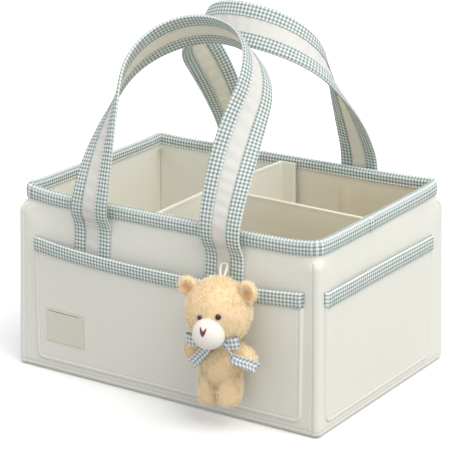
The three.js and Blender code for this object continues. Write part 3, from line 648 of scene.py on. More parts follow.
def round_wall(wall, span, outward, height):
    """A place on a wall whose span runs on round half of each corner."""
    span, outward, height = np.broadcast_arrays(span, outward, height)
    rim_radius = np.where(span < 0, wall.left_radius, wall.right_radius)
    radius = CORNER_RADIUS + (rim_radius - CORNER_RADIUS) * shoulder_at(height)
    radius = np.maximum(radius, LEAST_RADIUS - outward)
    reach = np.minimum(np.abs(span), wall.straight) / wall.straight
    angle = np.clip((np.abs(span) - wall.straight) / wall.arc, 0, 1) * math.pi / 4
    x = np.sign(span) * (reach * (wall.along - radius) + np.sin(angle) * (radius + outward))
    y = -((wall.across - radius) + np.cos(angle) * (radius + outward))
    ease = soft_step((wall.half_span - np.abs(span) - 6) / 30)
    x = x * (1 + drift(wall.along_inset, height, ease) / wall.along)
    y = y * (1 + drift(wall.across_inset, height, ease) / wall.across)
    return turned(np.stack([x, y, height - sag(wall, span, height)], 1).astype(float), wall.turns)


def round_ring(distance, outward, height):
    """A place at a distance round the basket, which starts at the front wall's left corner."""
    distance, outward, height = np.broadcast_arrays(np.mod(distance, RING_LENGTH), outward, height)
    points = np.zeros((len(distance), 3))
    for wall in WALLS.values():
        span = distance - wall.start - wall.half_span
        here = np.abs(span) <= wall.half_span + 1e-6
        if here.any():
            points[here] = round_wall(wall, span[here], outward[here], height[here])
    return points


def span_stops(wall, step=7.0):
    """Distances along a wall, crowded in its rounded corners and at the creases beside them."""
    arc = np.linspace(wall.straight, wall.half_span, 6)
    beside = wall.straight - np.array([0.4, 0.8, 1.2, 1.6, 2.0, 2.4, 2.9, 3.5, 5.0, 8.0])
    return mirrored(spaced(-(wall.straight - 12), wall.straight - 12, step), beside, arc)


def ring_stops(step=7.0):
    walls = WALLS.values()
    return stops(*[span_stops(wall, step) + wall.start + wall.half_span for wall in walls], 0, RING_LENGTH)


print("distance round the basket in mm:", round(RING_LENGTH, 1))

# %% [markdown]
# The outer canvas is four panels that meet at the corners. Each corner is a narrow rounded strip
# between two stitched grooves, which ends just under the rim tape, and at the foot a narrow welt runs
# round the base seam. The relief is part of the rule that places the cloth, because grooves this
# shallow need real shape to catch the light.

# %% Outer canvas
COVER_FOOT, COVER_TOP, STRIP_TOP = 1.5, 174.4, 160
wave_phases = seed.uniform(0, 2 * math.pi, (4, 6))


def wall_relief(wall, span, height):
    """The corner strip with its groove, the welt at the foot and faint waves in the cloth."""
    edge = wall.half_span - np.abs(span)
    below = 1 - shoulder_at(height)
    strip = 0.7 * (1 - soft_step((edge - 3.4) / 1.8)) - 0.6 * hump(edge - 5.9, 1.1)
    strip = strip * (1 - soft_step((height - STRIP_TOP + 2) / 2)) * soft_step(height / 4)
    welt = 0.3 * hump(height - 3.2, 1.7) - 0.3 * hump(height - 5.4, 1.2)
    phases = wave_phases[wall.turns]
    calm = soft_step((edge - 12) / 30) * soft_step((height - 8) / 30)
    waves = (
        np.sin(span / 31 + phases[0] + 0.6 * np.sin(height / 40 + phases[1]))
        + 0.7 * np.sin(span / 17 + phases[2] + height / 90)
        + 0.5 * np.sin(height / 26 + phases[3] + span / 60)
    )
    return strip + welt + 0.22 * waves * calm * below


cover_heights = stops(
    COVER_FOOT, [2.0, 2.6, 3.2, 3.8, 4.4, 4.9, 5.4, 5.9, 6.6, 8, 11], spaced(16, 140, 6.2),
    spaced(143, 157, 2), spaced(157.5, 161, 0.5), spaced(162, 168, 1.5), 171, COVER_TOP,
)
for name, wall in WALLS.items():
    panel = cloth(
        f"{name}_canvas", span_stops(wall, 5.0), cover_heights,
        lambda span, height, wall=wall: round_wall(wall, span, wall_relief(wall, span, height), height),
        thickness=1.0, even=False,
    )
    hand_over(panel, canvas, "canvas", "basket", f"{name}_cover")
    reach = wall.straight - 4
    stiffener = cloth(
        f"{name}_stiff_board", spaced(-reach, reach, 9),
        [2.4, 5, 8, 12, *spaced(20, 140, 12), *spaced(143, 171, 2.8), 173.6],
        lambda span, height, wall=wall: round_wall(wall, span, -1.3, height), thickness=1.9,
    )
    hand_over(stiffener, board, "board", "basket", f"{name}_board")
nodes["base_board"].data.materials.clear()
nodes["base_board"].data.materials.append(board)
print("outer canvas panels:", len(WALLS))

# %% [markdown]
# The underside is a flat canvas panel with rounded corners, hemmed into the base seam. It is a grid
# whose outer columns are squeezed to the rounded outline, so no corner is left to cut away.

# %% Underside
UNDERSIDE_INSET = 0.6


def squeezed(half, radius, distance_in, x):
    """Draws a grid's last columns in to a rounded outline, at a distance in from its end."""
    zone = half - 3 * radius
    short = np.clip(radius - distance_in, 0, radius)
    limit = half - radius + np.sqrt(np.maximum(radius**2 - short**2, 0))
    stretch = np.clip((np.abs(x) - zone) / (half - zone), 0, 1)
    return np.where(np.abs(x) > zone, np.sign(x) * (zone + stretch * (limit - zone)), x)


def edge_stops(half, radius):
    near = half - np.array([0, 0.15, 0.5, 1.1, 2, 3.2, 4.6, 6.2, 8, 11])
    zone = half - 3 * radius
    return mirrored(spaced(-zone, zone, 12), near[near > zone])


def underside_rule(x, y):
    inset_x = squeezed(
        HALF_LENGTH - UNDERSIDE_INSET, CORNER_RADIUS, HALF_WIDTH - UNDERSIDE_INSET - np.abs(y), x
    )
    inside = np.minimum(HALF_LENGTH - np.abs(x), HALF_WIDTH - np.abs(y))
    return np.stack([-inset_x, y, 0.15 + 0.25 * soft_step((inside - 3) / 3)], 1)


underside = cloth(
    "underside_canvas",
    edge_stops(HALF_LENGTH - UNDERSIDE_INSET, CORNER_RADIUS),
    edge_stops(HALF_WIDTH - UNDERSIDE_INSET, CORNER_RADIUS),
    underside_rule, thickness=0.9, even=False,
)
hand_over(underside, canvas, "canvas", "basket", "base_cover")

# %% [markdown]
# The lining stands inside the board: a ring of cloth for the four walls with crisp seams in its
# corners, and a flat floor. On the back wall two narrow bands lie in the cloth, which the loose
# divider can be moved to. Ring and floor are joined into one piece.

# %% Lining
LINING_FOOT, FLOOR_TOP, FLOOR_INSET, FLOOR_RADIUS = 4.3, 5.1, WALL_THICKNESS - 1.2, 5
back_centre = WALLS["back"].start + WALLS["back"].half_span
BANDS = (back_centre - 62, back_centre + 58)


def lining_relief(distance, height):
    relief = np.zeros_like(distance)
    for wall in WALLS.values():
        gap = np.abs(np.mod(distance - wall.start + RING_LENGTH / 2, RING_LENGTH) - RING_LENGTH / 2)
        relief = relief + 0.5 * hump(gap, 0.8) - 0.3 * hump(gap - 2.2, 1.4)
    for band in BANDS:
        side = distance - band
        relief = relief - 0.35 * (soft_step((side + 5) / 0.8) - soft_step((side - 4) / 0.8))
    calm = 1 - shoulder_at(height)
    return relief * calm - 0.25 * np.sin(distance / 37 + height / 50) * calm


def lining_rule(distance, depth):
    height = COVER_TOP - 0.2 - depth
    round_foot = np.clip((LINING_FOOT + 3 - height) / 3, 0, 1)
    inward = WALL_THICKNESS + 1.6 * round_foot**2 - lining_relief(distance, height)
    return round_ring(distance, -inward, height)


lining_extra = [band + np.array([-5.2, -4.6, -4.2, 0, 3.8, 4.2, 4.8]) for band in BANDS]
lining_extra += [wall.start + np.array([-0.8, -0.4, 0, 0.4, 0.8]) for wall in WALLS.values()]
# Distances down from the top, so that the cloth's right side points into the basket
ring_lining = cloth(
    "inner_lining",
    stops(ring_stops(), np.mod(np.concatenate(lining_extra), RING_LENGTH)),
    [0, 3, *spaced(6, 22, 2), 24.5, 28, 32, *spaced(38, 158, 12), 164, 167, 168.5, 169.3, 169.9],
    lining_rule, thickness=0.7, closed=True, even=False,
)


def floor_rule(x, y):
    inset_x = squeezed(HALF_LENGTH - FLOOR_INSET, FLOOR_RADIUS, HALF_WIDTH - FLOOR_INSET - np.abs(y), x)
    return np.stack([inset_x, y, FLOOR_TOP + 0.15 * np.sin(x / 19) * np.sin(y / 23)], 1)


floor_lining = cloth(
    "lining_floor",
    edge_stops(HALF_LENGTH - FLOOR_INSET, FLOOR_RADIUS), edge_stops(HALF_WIDTH - FLOOR_INSET, FLOOR_RADIUS),
    floor_rule, thickness=0.6,
)
make_only(ring_lining)
floor_lining.select_set(True)
bpy.ops.object.join()
hand_over(ring_lining, lining_cloth, "lining", "basket", "lining")
print("lining corners:", len(ring_lining.data.vertices))

# %% [markdown]
# Rows of stitching are hundreds of the same small shape. One stitch is modelled, as a short rounded
# bead of thread with few faces, and copied along a row: each copy is turned to run along its seam and
# pressed a little into the cloth.

# %% Stitching
start_clean()
bpy.ops.mesh.primitive_uv_sphere_add(segments=6, ring_count=4, radius=1, location=(0, 0, 0))
one_stitch = bpy.context.object
one_stitch.name = "one_stitch"
bpy.ops.object.mode_set(mode="EDIT")
bpy.ops.mesh.select_all(action="SELECT")
bpy.ops.transform.rotate(value=math.pi / 2, orient_axis="Y", center_override=(0, 0, 0))
bpy.ops.object.mode_set(mode="OBJECT")
stitch_corners = corners_of(one_stitch.data)
stitch_faces = [tuple(face.vertices) for face in one_stitch.data.polygons]
bpy.data.objects.remove(one_stitch)


def unit(vectors):
    return vectors / np.maximum(np.linalg.norm(vectors, axis=1, keepdims=True), 1e-12)


def stitch_row(name, place, start, end, finish, slot, body, pitch=3.0, length=2.1, width=0.42):
    """Stitches along a seam: place takes distances along it, and how far out of the cloth."""
    count = max(1, int(round((end - start) / pitch)))
    middles = start + (np.arange(count) + 0.5) * (end - start) / count
    centre = place(middles, 0.0)
    out = unit(place(middles, 0.4) - centre)
    ahead = unit(place(middles + 0.5, 0.0) - place(middles - 0.5, 0.0))
    side = unit(np.cross(out, ahead))
    shaped = stitch_corners * np.array([length / 2, width / 2, width / 2.4])
    points = (
        centre[:, None, :] - out[:, None, :] * width * 0.12
        + shaped[None, :, 0:1] * ahead[:, None, :]
        + shaped[None, :, 1:2] * side[:, None, :]
        + shaped[None, :, 2:3] * out[:, None, :]
    ).reshape(-1, 3)
    faces = [
        tuple(corner + copy * len(stitch_corners) for corner in face)
        for copy in range(count) for face in stitch_faces
    ]
    mesh = bpy.data.meshes.new(name)
    mesh.from_pydata((points * MM).tolist(), [], faces)
    mesh.update()
    row = bpy.data.objects.new(name, mesh)
    bpy.context.scene.collection.objects.link(row)
    repair(row, outward=True)
    bpy.ops.object.shade_smooth()
    return hand_over(row, finish, slot, body)


print("faces in one stitch:", len(stitch_faces))

# %% [markdown]
# The rim tape is one long strip of gingham, folded over the raw edges of canvas, board and lining. Its
# two ends overlap on the right wall. The strip is laid round the basket as a grid whose short
# direction runs up the outside, over the rim and down the inside, so the check crosses the fold
# unbroken.

# %% Rim tape
TAPE_THICKNESS, STITCH_LINE = 0.9, 1.8
RIM_OUTER, RIM_INNER = 1.3, -6.1
RIM_ROLL = (RIM_OUTER - RIM_INNER) / 2
ROLL_FOOT = BODY_HEIGHT - RIM_ROLL
rim_path = Path([
    *[(RIM_OUTER, height) for height in (165.2, 168.2, 171.2, ROLL_FOOT)],
    *[
        (RIM_OUTER - RIM_ROLL + RIM_ROLL * math.cos(turn), ROLL_FOOT + RIM_ROLL * math.sin(turn))
        for turn in np.radians(spaced(15, 165, 15))
    ],
    *[(RIM_INNER, height) for height in (ROLL_FOOT, 171.5, 167.6)],
])
RIM_LENGTH = rim_path.length
RIM_SEAM = WALLS["right"].start + WALLS["right"].half_span - 17.5


def rim_place(distance, across, out=0.0):
    outward, height = rim_path.at(across)
    outside = across < RIM_LENGTH / 2
    face = np.where(outside, across, RIM_LENGTH - across)
    pucker = 0.10 * np.sin(distance / 2.9 + 1.7 * np.sin(distance / 23)) * hump(face - 1.8, 2.6)
    puff = 0.35 * hump(face - 5.4, 4.2) - 0.35 * hump(face - 1.8, 0.9) + pucker
    past_seam = np.mod(distance - RIM_SEAM + 8, RING_LENGTH)
    lap = 0.8 * soft_step(past_seam / 0.8) * (1 - soft_step((past_seam - 7) / 0.6))
    away = (puff + lap + out) * np.where(outside, 1, -1)
    return round_ring(distance, outward + away, height)


HEM_STOPS = [0, 0.6, 1.2, 1.8, 2.4, 3.2]
rim_tape = cloth(
    "rim_tape",
    stops(ring_stops(2.4), RIM_SEAM + np.array([-8.2, -8, -7.6, -7.2, -4, -1, -0.5, 0, 0.4])),
    stops(HEM_STOPS, spaced(4.4, 7.8, 1.1), rim_path.lengths[3:-2], RIM_LENGTH - np.array([*HEM_STOPS, 4.8])),
    rim_place, TAPE_THICKNESS, closed=True,
)
hand_over(rim_tape, rim_gingham, "gingham", "basket", "rim_binding")
for title, line in (("outer", STITCH_LINE), ("inner", RIM_LENGTH - STITCH_LINE)):
    stitch_row(
        f"rim_{title}_stitches",
        lambda t, out, line=line: rim_place(t, np.full_like(t, line), out),
        0, RING_LENGTH, thread, "gingham", "basket", pitch=3.1,
    )
stitch_row(
    "rim_join_stitches",
    lambda t, out: rim_place(np.full_like(t, RIM_SEAM - 6.4), t, out),
    1.5, 9.5, pale_thread, "gingham", "basket", pitch=2.0, length=1.5, width=0.4,
)
print("rim tape width when flat in mm:", round(RIM_LENGTH, 1))

# %% [markdown]
# Each pocket is a panel sewn on at its sides and foot. Its edge is a hem about four millimetres wide
# that stands proud and ends in a stitched groove, its outermost edge bends down on to the wall, and
# its lower corners are round. Towards the mouth it bows away from the wall and sags a little, as a
# pocket does that has been used. The one on the right is nearly flat.

# %% Pockets
POCKET_FOOT, POCKET_MOUTH = 10.5, 129
POCKET_CLOTH, POCKET_TAPE = 1.2, 0.8
POCKET_RADIUS, HEM_GROOVE = 8.0, 4.2


class Pocket:
    """A pocket's measures, with the rules for how it stands off its wall."""

    def __init__(self, wall, width, centre, bow, slack):
        self.wall, self.half, self.centre, self.bow, self.slack = wall, width / 2, centre, bow, slack

    def shares(self, along, height):
        """How far up the pocket and how far sideways from its middle a place is, 0 to 1."""
        rise = (height - POCKET_FOOT) / (POCKET_MOUTH - POCKET_FOOT)
        return rise, (along - self.centre) / self.half

    def stand_off(self, along, height):
        rise, sideways = self.shares(along, height)
        seat = LAYER_GAP + (POCKET_TAPE + LAYER_GAP) * rise
        return seat + self.bow * (1 - sideways**4) * np.maximum(rise, 0)

    def place(self, along, face, height):
        """A place on the wall, lowered where the slack cloth of the mouth hangs down."""
        rise, sideways = self.shares(along, height)
        fall = self.slack * (1 - sideways**2) * np.maximum(rise, 0) ** 2
        return on_wall(self.wall, along, face, height - fall)


POCKETS = {
    name: Pocket(WALLS[name], *measures) for name, measures in {
        "front": (289, 3, 7, 5), "right": (191, -8.5, 2, -1.5),
        "back": (289, 0, 7, 4), "left": (191, 0, 5, 2),
    }.items()
}


def hem_distance(pocket, along, height):
    """How far in from the pocket's outline a place is, rounding its lower corners."""
    side, foot = pocket.half - np.abs(along - pocket.centre), height - POCKET_FOOT
    short_side, short_foot = POCKET_RADIUS - side, POCKET_RADIUS - foot
    corner = POCKET_RADIUS - np.hypot(np.maximum(short_side, 0), np.maximum(short_foot, 0))
    return np.where((short_side > 0) & (short_foot > 0), corner, np.minimum(side, foot))


def pocket_place(pocket, across, up, out=0.0):
    along = squeezed(pocket.half, POCKET_RADIUS, up, across) + pocket.centre
    height = up + POCKET_FOOT
    inside = hem_distance(pocket, along, height)
    hem = 0.5 * (soft_step(inside / 0.9) - soft_step((inside - 3.0) / 0.8))
    hem = hem - 0.5 * hump(inside - HEM_GROOVE, 0.9)
    hem = hem * (0.4 + 0.6 * soft_step((up - 5) / 9))
    calm = soft_step((inside - 8) / 25)
    slack = 0.3 * np.sin(along / 43 + 1.3) * np.sin(height / 31 + along / 90) * calm
    face = pocket.stand_off(along, height) + POCKET_CLOTH - 0.35 + hem + slack
    bent = 1 - soft_step(inside / 1.5)
    return pocket.place(along, face * (1 - bent) + 0.25 * bent + out, height)


hem_stops = np.array([2.7, 3.2, 3.6, 3.9, HEM_GROOVE, 4.6, 5.1, 6])
pocket_ups = stops(
    [0, 0.25, 0.7, 1.3, 2.0], hem_stops, [7.2, 8.5, 11, 16], spaced(24, POCKET_MOUTH - POCKET_FOOT, 8)
)
for name, pocket in POCKETS.items():
    near = pocket.half - np.array([0, 0.5, 1.1, 1.9, *hem_stops, 7.5, 10, 14, 19, 24])
    panel = cloth(
        f"{name}_pocket_cloth",
        mirrored(spaced(24 - pocket.half, pocket.half - 24, 9), near),
        pocket_ups, partial(pocket_place, pocket), thickness=0.8,
    )
    hand_over(panel, canvas, "canvas", "basket", f"{name}_pocket")
    corner = [(HEM_GROOVE, 108), (HEM_GROOVE, 9), (5.4, 6.2), (8.6, 4.3)]
    hem_line = Path([
        *[(inset - pocket.half, up) for inset, up in corner],
        *[(pocket.half - inset, up) for inset, up in reversed(corner)],
    ])
    stitch_row(
        f"{name}_hem_stitches",
        lambda t, out, pocket=pocket, line=hem_line: pocket_place(pocket, *line.at(t), out),
        3, hem_line.length - 3, pale_thread, "canvas", "basket", pitch=3.3, width=0.36,
    )
print("pockets:", len(POCKETS))

# %% [markdown]
# The mouth of every pocket is bound with the same gingham, folded over the edge like the rim's. Its
# ends are tucked under and tacked down with a short upright row of stitches.

# %% Pocket tapes
TAPE_FACE = POCKET_CLOTH + LAYER_GAP + POCKET_TAPE
pocket_path = Path([
    *[(TAPE_FACE, rise) for rise in (-12.2, -9, -5, -1.2)],
    (TAPE_FACE - 0.25, 0.1), (TAPE_FACE - 0.9, 0.9), (0.6, 1.1), (-0.2, 0.9), (-0.9, 0.2),
    *[(-1.1, rise) for rise in (-1, -5, -10)],
])


def pocket_tape_place(pocket, along, across, out=0.0):
    offset, rise = pocket_path.at(across)
    height = POCKET_MOUTH + rise
    outside = offset > 0.3
    end = pocket.half - np.abs(along - pocket.centre)
    tuck = 0.4 * (soft_step(end / 0.8) - soft_step((end - 7) / 1.0))
    puff = 0.35 * hump(across - 6, 5) - 0.3 * hump(across - 1.8, 0.9)
    pucker = 0.09 * np.sin(along / 2.6 + 1.5 * np.sin(along / 19)) * hump(across - 1.8, 2.6)
    face = pocket.stand_off(along, height) + offset + np.where(outside, puff + pucker + tuck, 0)
    bent = 1 - soft_step(end / 1.6)
    face = face * (1 - bent) + (0.25 + 0.35 * offset) * bent + np.where(outside, out, -out)
    return pocket.place(along, face, height)


for name, pocket in POCKETS.items():
    ends = pocket.half - np.array([0, 0.4, 0.8, 1.2, 1.6, 2.4, 4, 6.8, 7.4, 8.0])
    tape = cloth(
        f"{name}_pocket_tape",
        mirrored(spaced(10 - pocket.half, pocket.half - 10, 2.6), ends) + pocket.centre,
        stops(HEM_STOPS, spaced(4.4, 10.6, 1.5), pocket_path.lengths[3:]),
        partial(pocket_tape_place, pocket), thickness=0.7,
    )
    hand_over(tape, pocket_gingham, "gingham", "basket", f"{name}_pocket_binding")
    stitch_row(
        f"{name}_pocket_tape_stitches",
        lambda t, out, pocket=pocket: pocket_tape_place(pocket, t, np.full_like(t, STITCH_LINE), out),
        pocket.centre - pocket.half + 1, pocket.centre + pocket.half - 1,
        thread, "gingham", "basket", pitch=3.1,
    )
    for title, way in (("left", -1), ("right", 1)):
        stitch_row(
            f"{name}_pocket_tack_{title}",
            lambda t, out, pocket=pocket, spot=pocket.centre + way * (pocket.half - 3.6): pocket_tape_place(
                pocket, np.full_like(t, spot), t, out
            ),
            1.0, 11.5, thread, "gingham", "basket", pitch=2.0, length=1.5, width=0.5,
        )
print("pocket tapes:", len(POCKETS))

# %% [markdown]
# The label is a small satin tag, sewn on near the front pocket's lower left corner. Its top edge was
# folded under, which shows as one dark line of shadow, painted as a close row of dark stitches. It is
# left bare.

# %% Label
LABEL_LEFT, LABEL_FOOT, LABEL_WIDTH, LABEL_HEIGHT = -128, 31, 43.5, 32.5
front_wall, front_pocket = WALLS["front"], POCKETS["front"]


def label_place(across, up, out=0.0):
    along, height = LABEL_LEFT + across, LABEL_FOOT + up
    edge = np.minimum(np.minimum(across, LABEL_WIDTH - across), np.minimum(up, LABEL_HEIGHT - up))
    fold = -0.35 * hump(up - (LABEL_HEIGHT - 2.6), 0.6)
    lift = POCKET_CLOTH + 0.55 - 0.2 * (1 - soft_step(edge / 1.0)) + fold
    lift = lift + 0.12 * np.sin(across / 5.2 + up / 9) * soft_step(edge / 4)
    return on_wall(front_wall, along, front_pocket.stand_off(along, height) + lift + out, height)


label_edge = np.array([0, 0.4, 1.0])
label = cloth(
    "bare_label",
    stops(label_edge, spaced(2, LABEL_WIDTH - 2, 1.7), LABEL_WIDTH - label_edge),
    stops(label_edge, spaced(2, 28.5, 1.5), [29.3, 29.6, 29.9, 30.2, 30.5], LABEL_HEIGHT - label_edge),
    label_place, thickness=0.5,
)
hand_over(label, label_satin, "label", "basket", "label")
LABEL_SEAM = 1.3
seam_right, seam_top = LABEL_WIDTH - LABEL_SEAM, LABEL_HEIGHT - LABEL_SEAM
label_line = Path([
    (LABEL_SEAM, LABEL_SEAM), (seam_right, LABEL_SEAM), (seam_right, seam_top), (LABEL_SEAM, seam_top),
    (LABEL_SEAM, LABEL_SEAM),
])
stitch_row(
    "label_stitches", lambda t, out: label_place(*label_line.at(t), out),
    0, label_line.length, pale_thread, "label", "basket", pitch=2.2, length=1.5, width=0.28,
)
# Painted shadow: dark stitches stand for the shadow line under the folded top edge
stitch_row(
    "label_painted_shadow_line", lambda t, out: label_place(t, np.full_like(t, LABEL_HEIGHT - 2.3), out),
    3.2, 38.4, painted_shadow_thread, "label", "basket", pitch=1.1, length=1.5, width=0.8,
)
print("label size in mm:", LABEL_WIDTH, LABEL_HEIGHT)

# %% [markdown]
# Each handle is one long canvas strap with gingham folded over both edges. It comes up out of the
# pocket, is sewn flat to the wall as far as a stitch row under the rim, kicks out over the rim tape
# there, and then leans in over the basket and turns a quarter as it rounds the top. The route is worked
# out once, as a place and three directions at each distance along the strap, and core, edging and
# stitches are all laid on it. The cloth crosses the hinge of the handle, so it is blended from the
# basket to the handle.

# %% The handles' route
HINGE_HEIGHT, HINGE_LIFT, STRAP_FOOT = 152, 1.9, 100
STRAP_SEAT = LAYER_GAP + 1.5
SEWN_LENGTH = HINGE_HEIGHT + HINGE_LIFT - STRAP_FOOT


class Handle:
    """A strap's route, worked out as if its wall faced the front."""

    def __init__(self, wall, centre, half, reach, rim, top, kick, kick_length, twist, twist_share, spread):
        self.wall, self.centre, self.half, self.reach = wall, centre, half, reach
        self.left_spread, self.right_spread = spread
        self.rim, self.top, self.kick, self.kick_length = rim, top, kick, kick_length
        self.twist, self.twist_share = math.radians(twist), twist_share
        self.straight = reach - half
        self.half_route = self.straight + math.pi / 2 * half
        rises = np.linspace(0, reach, 801)
        lean = self.lean(rises)
        step = np.diff(rises)
        foot = -on_wall(WALLS["front"], 0, STRAP_SEAT, HINGE_HEIGHT)[0, 1]
        middle = (lean[1:] + lean[:-1]) / 2
        self.rises = rises
        self.ys = -foot + np.concatenate([[0], np.cumsum(np.sin(middle) * step)])
        self.zs = HINGE_HEIGHT + HINGE_LIFT + np.concatenate([[0], np.cumsum(np.cos(middle) * step)])

    def lean(self, rise):
        steady = self.rim + (self.top - self.rim) * rise / self.reach
        kick = self.kick * np.maximum(0, 1 - rise / self.kick_length) ** 2
        return np.radians(steady - kick)

    def frames(self, travel):
        """Place, way across and way through the strap, at distances from its first stitch row."""
        travel = np.asarray(travel, float)
        far = travel > self.half_route
        near = np.where(far, 2 * self.half_route - travel, travel)
        angle = np.maximum(0, near - self.straight) / self.half
        rise = np.where(near < self.straight, near, self.straight + self.half * np.sin(angle))
        rise = np.maximum(rise, 0)
        lean = np.where(near < 0, 0, self.lean(rise))
        y, z = np.interp(rise, self.rises, self.ys), np.interp(rise, self.rises, self.zs)
        sewn = near < 0
        low = np.maximum(z + np.minimum(near, 0), STRAP_FOOT - 1)
        wall_y = on_wall(WALLS["front"], 0, STRAP_SEAT, low, soft_step(-near / 14))[:, 1]
        seat_y = on_wall(WALLS["front"], 0, STRAP_SEAT, np.full_like(low, HINGE_HEIGHT))[:, 1]
        y = np.where(sewn, np.where(low < HINGE_HEIGHT, wall_y, seat_y), y)
        z = np.where(sewn, low, z)
        nothing = np.zeros_like(lean)
        sideways = np.stack([np.ones_like(lean), nothing, nothing], 1)
        up = np.stack([nothing, np.sin(lean), np.cos(lean)], 1)
        facing_out = np.stack([nothing, -np.cos(lean), np.sin(lean)], 1)
        sine, cosine = np.sin(angle)[:, None], np.cos(angle)[:, None]
        forward = sideways * sine + up * cosine
        inward = sideways * cosine - up * sine
        turned_share = np.clip(near / self.half_route / self.twist_share, 0, 1)
        twist = (self.twist * (1 - np.cos(math.pi * turned_share)) / 2)[:, None]
        across = inward * np.cos(twist) + facing_out * np.sin(twist)
        x = -self.half * np.cos(angle)
        x = np.where(far, -x, x)
        x = x + np.where(far, self.right_spread, -self.left_spread) * (1 - soft_step((near + 6) / 42))
        across[far, 0] *= -1
        forward[far, 1:] *= -1
        point = np.stack([x + self.centre, y, z], 1)
        return point, across, np.cross(forward, across)

    def place(self, travel, across, through):
        point, side, out = self.frames(travel)
        spot = point + side * np.asarray(across)[:, None] + out * np.asarray(through)[:, None]
        return turned(spot, self.wall.turns)


HANDLES = {
    "front": Handle(WALLS["front"], -1.6, 69, 202.2, 11.7, 51.9, 56.8, 44.5, 86.8, 0.884, (5.0, -1.3)),
    "rear": Handle(WALLS["back"], 0.8, 68.8, 209.8, 18.7, 52.9, 49.9, 51.3, 105.2, 1.106, (0, 0)),
}
for name, handle in HANDLES.items():
    print(name, "handle: highest point in mm", round(float(handle.zs[-1]), 1))

# %% [markdown]
# The strap's core puckers a little crosswise between its two rows of stitching. The edging is a strip
# folded round the strap's edge: out along one face, round, and back along the other.

# %% Handles
edging_face = [
    (7.3, 1.62), (8.0, 1.72), (9.2, 1.66), (12, 1.82), (16, 1.84), (18.4, 1.74), (19.4, 1.3), (19.9, 0.6),
]
edging_back = [(across, -through) for across, through in reversed(edging_face)]
edging_path = Path([*edging_face, (20, 0), *edging_back])
core_half = [1, 3, 5, 6.6, 8, 9.5, 12, 15, 18.8]
section_stops = stops(edging_path.lengths, spaced(3, 9, 1.5), edging_path.length - spaced(3, 9, 1.5))


def travel_stops(handle, step):
    """Distances along the strap, crowded where it kinks at the two stitch rows."""
    kink = np.array([-3, -2, -1.2, -0.5, 0, 0.5, 1.2, 2, 3, 4])
    end = 2 * handle.half_route
    return stops(
        spaced(-SEWN_LENGTH, -4.5, step), kink, spaced(5.5, end - 5.5, step), end - kink,
        end + spaced(4.5, SEWN_LENGTH, step),
    )


def core_place(handle, travel, across):
    middle = 1 - soft_step((np.abs(across) - 4) / 5)
    pucker = 0.28 * np.sin(travel / 1.9 + 2.2 * np.sin(travel / 17) + across / 9)
    return handle.place(travel, across, middle * (pucker - 0.05))


def edging_place(handle, side, travel, along_section, out=0.0):
    across, through = edging_path.at(along_section)
    face = np.where(along_section < edging_path.length / 2, 1, -1)
    ripple = 0.09 * np.sin(travel / 2.3 + 1.8 * np.sin(travel / 21)) * hump(across - 9.5, 3)
    wave = 0.105 * np.sin(travel / 13 + side) * hump(across - 20, 5)
    return handle.place(travel, side * across, side * (through + face * (ripple + out)) + wave)


def line_inner_face(piece, count):
    """Moves the map a metre across on the strap's first faces, which are its inner ones."""
    mesh = piece.data
    chart = np.zeros(len(mesh.loops) * 2, np.float32)
    mesh.uv_layers[0].data.foreach_get("uv", chart)
    chart = chart.reshape(-1, 2)
    for face in mesh.polygons[:count]:
        chart[list(face.loop_indices), 1] += 1
    mesh.uv_layers[0].data.foreach_set("uv", chart.ravel())


for name, handle in HANDLES.items():
    body = f"{name}_handle"
    crossing = ("basket", body, (0, 0, 0.150), (0, 0, 0.158))
    core = cloth(
        f"{name}_strap_core", travel_stops(handle, 1.5), mirrored([], core_half), partial(core_place, handle)
    )
    inner_faces = len(core.data.polygons)
    apply_modifier(core, "SOLIDIFY", thickness=1.5 * MM, offset=0.0, use_even_offset=False)
    smooth_faces(core)
    line_inner_face(core, inner_faces)
    hand_over(
        core, strap_cloth, "strap", crossing,
        f"{name}_handle_strap", f"{name}_strap_end_left", f"{name}_strap_end_right",
    )
    for title, side in (("upper", 1), ("lower", -1)):
        edging = cloth(
            f"{name}_{title}_edging", travel_stops(handle, 2.2), section_stops,
            partial(edging_place, handle, side), thickness=0.6, even=False,
        )
        hand_over(edging, strap_gingham, "gingham", crossing, f"{name}_handle_{title}_edging")
        for face, spot in (("inner", 1.6), ("outer", edging_path.length - 1.6)):
            stitch_row(
                f"{name}_{title}_edging_stitches_{face}",
                lambda t, out, handle=handle, side=side, spot=spot: edging_place(
                    handle, side, t, np.full_like(t, spot), out
                ),
                -SEWN_LENGTH + 1, 2 * handle.half_route + SEWN_LENGTH - 1,
                thread, "gingham", crossing, pitch=3.0, length=2.1, width=0.4,
            )
print("strap length in mm:", round(2 * (HANDLES["front"].half_route + SEWN_LENGTH)))

# %% [markdown]
# The dividers are board slipped into a canvas sleeve, with a flap folded sideways at each end that
# carries a strip of hook tape. Seen from above a divider is a flat U. That outline is carried up in
# rings, drawn in at the top and bottom so that the sleeve's edges are round, and the two ends are
# closed.

# %% Dividers
DIVIDER_FOOT, DIVIDER_TOP = 5.4, 168
PANEL_THICKNESS, FLAP_WIDTH, FLAP_THICKNESS, HEM = 3.5, 18, 1.6, 0.8
SEAM_HEIGHT = DIVIDER_TOP - 3.2
CROSS_FACE, CROSS_BOW = 99.5, 5


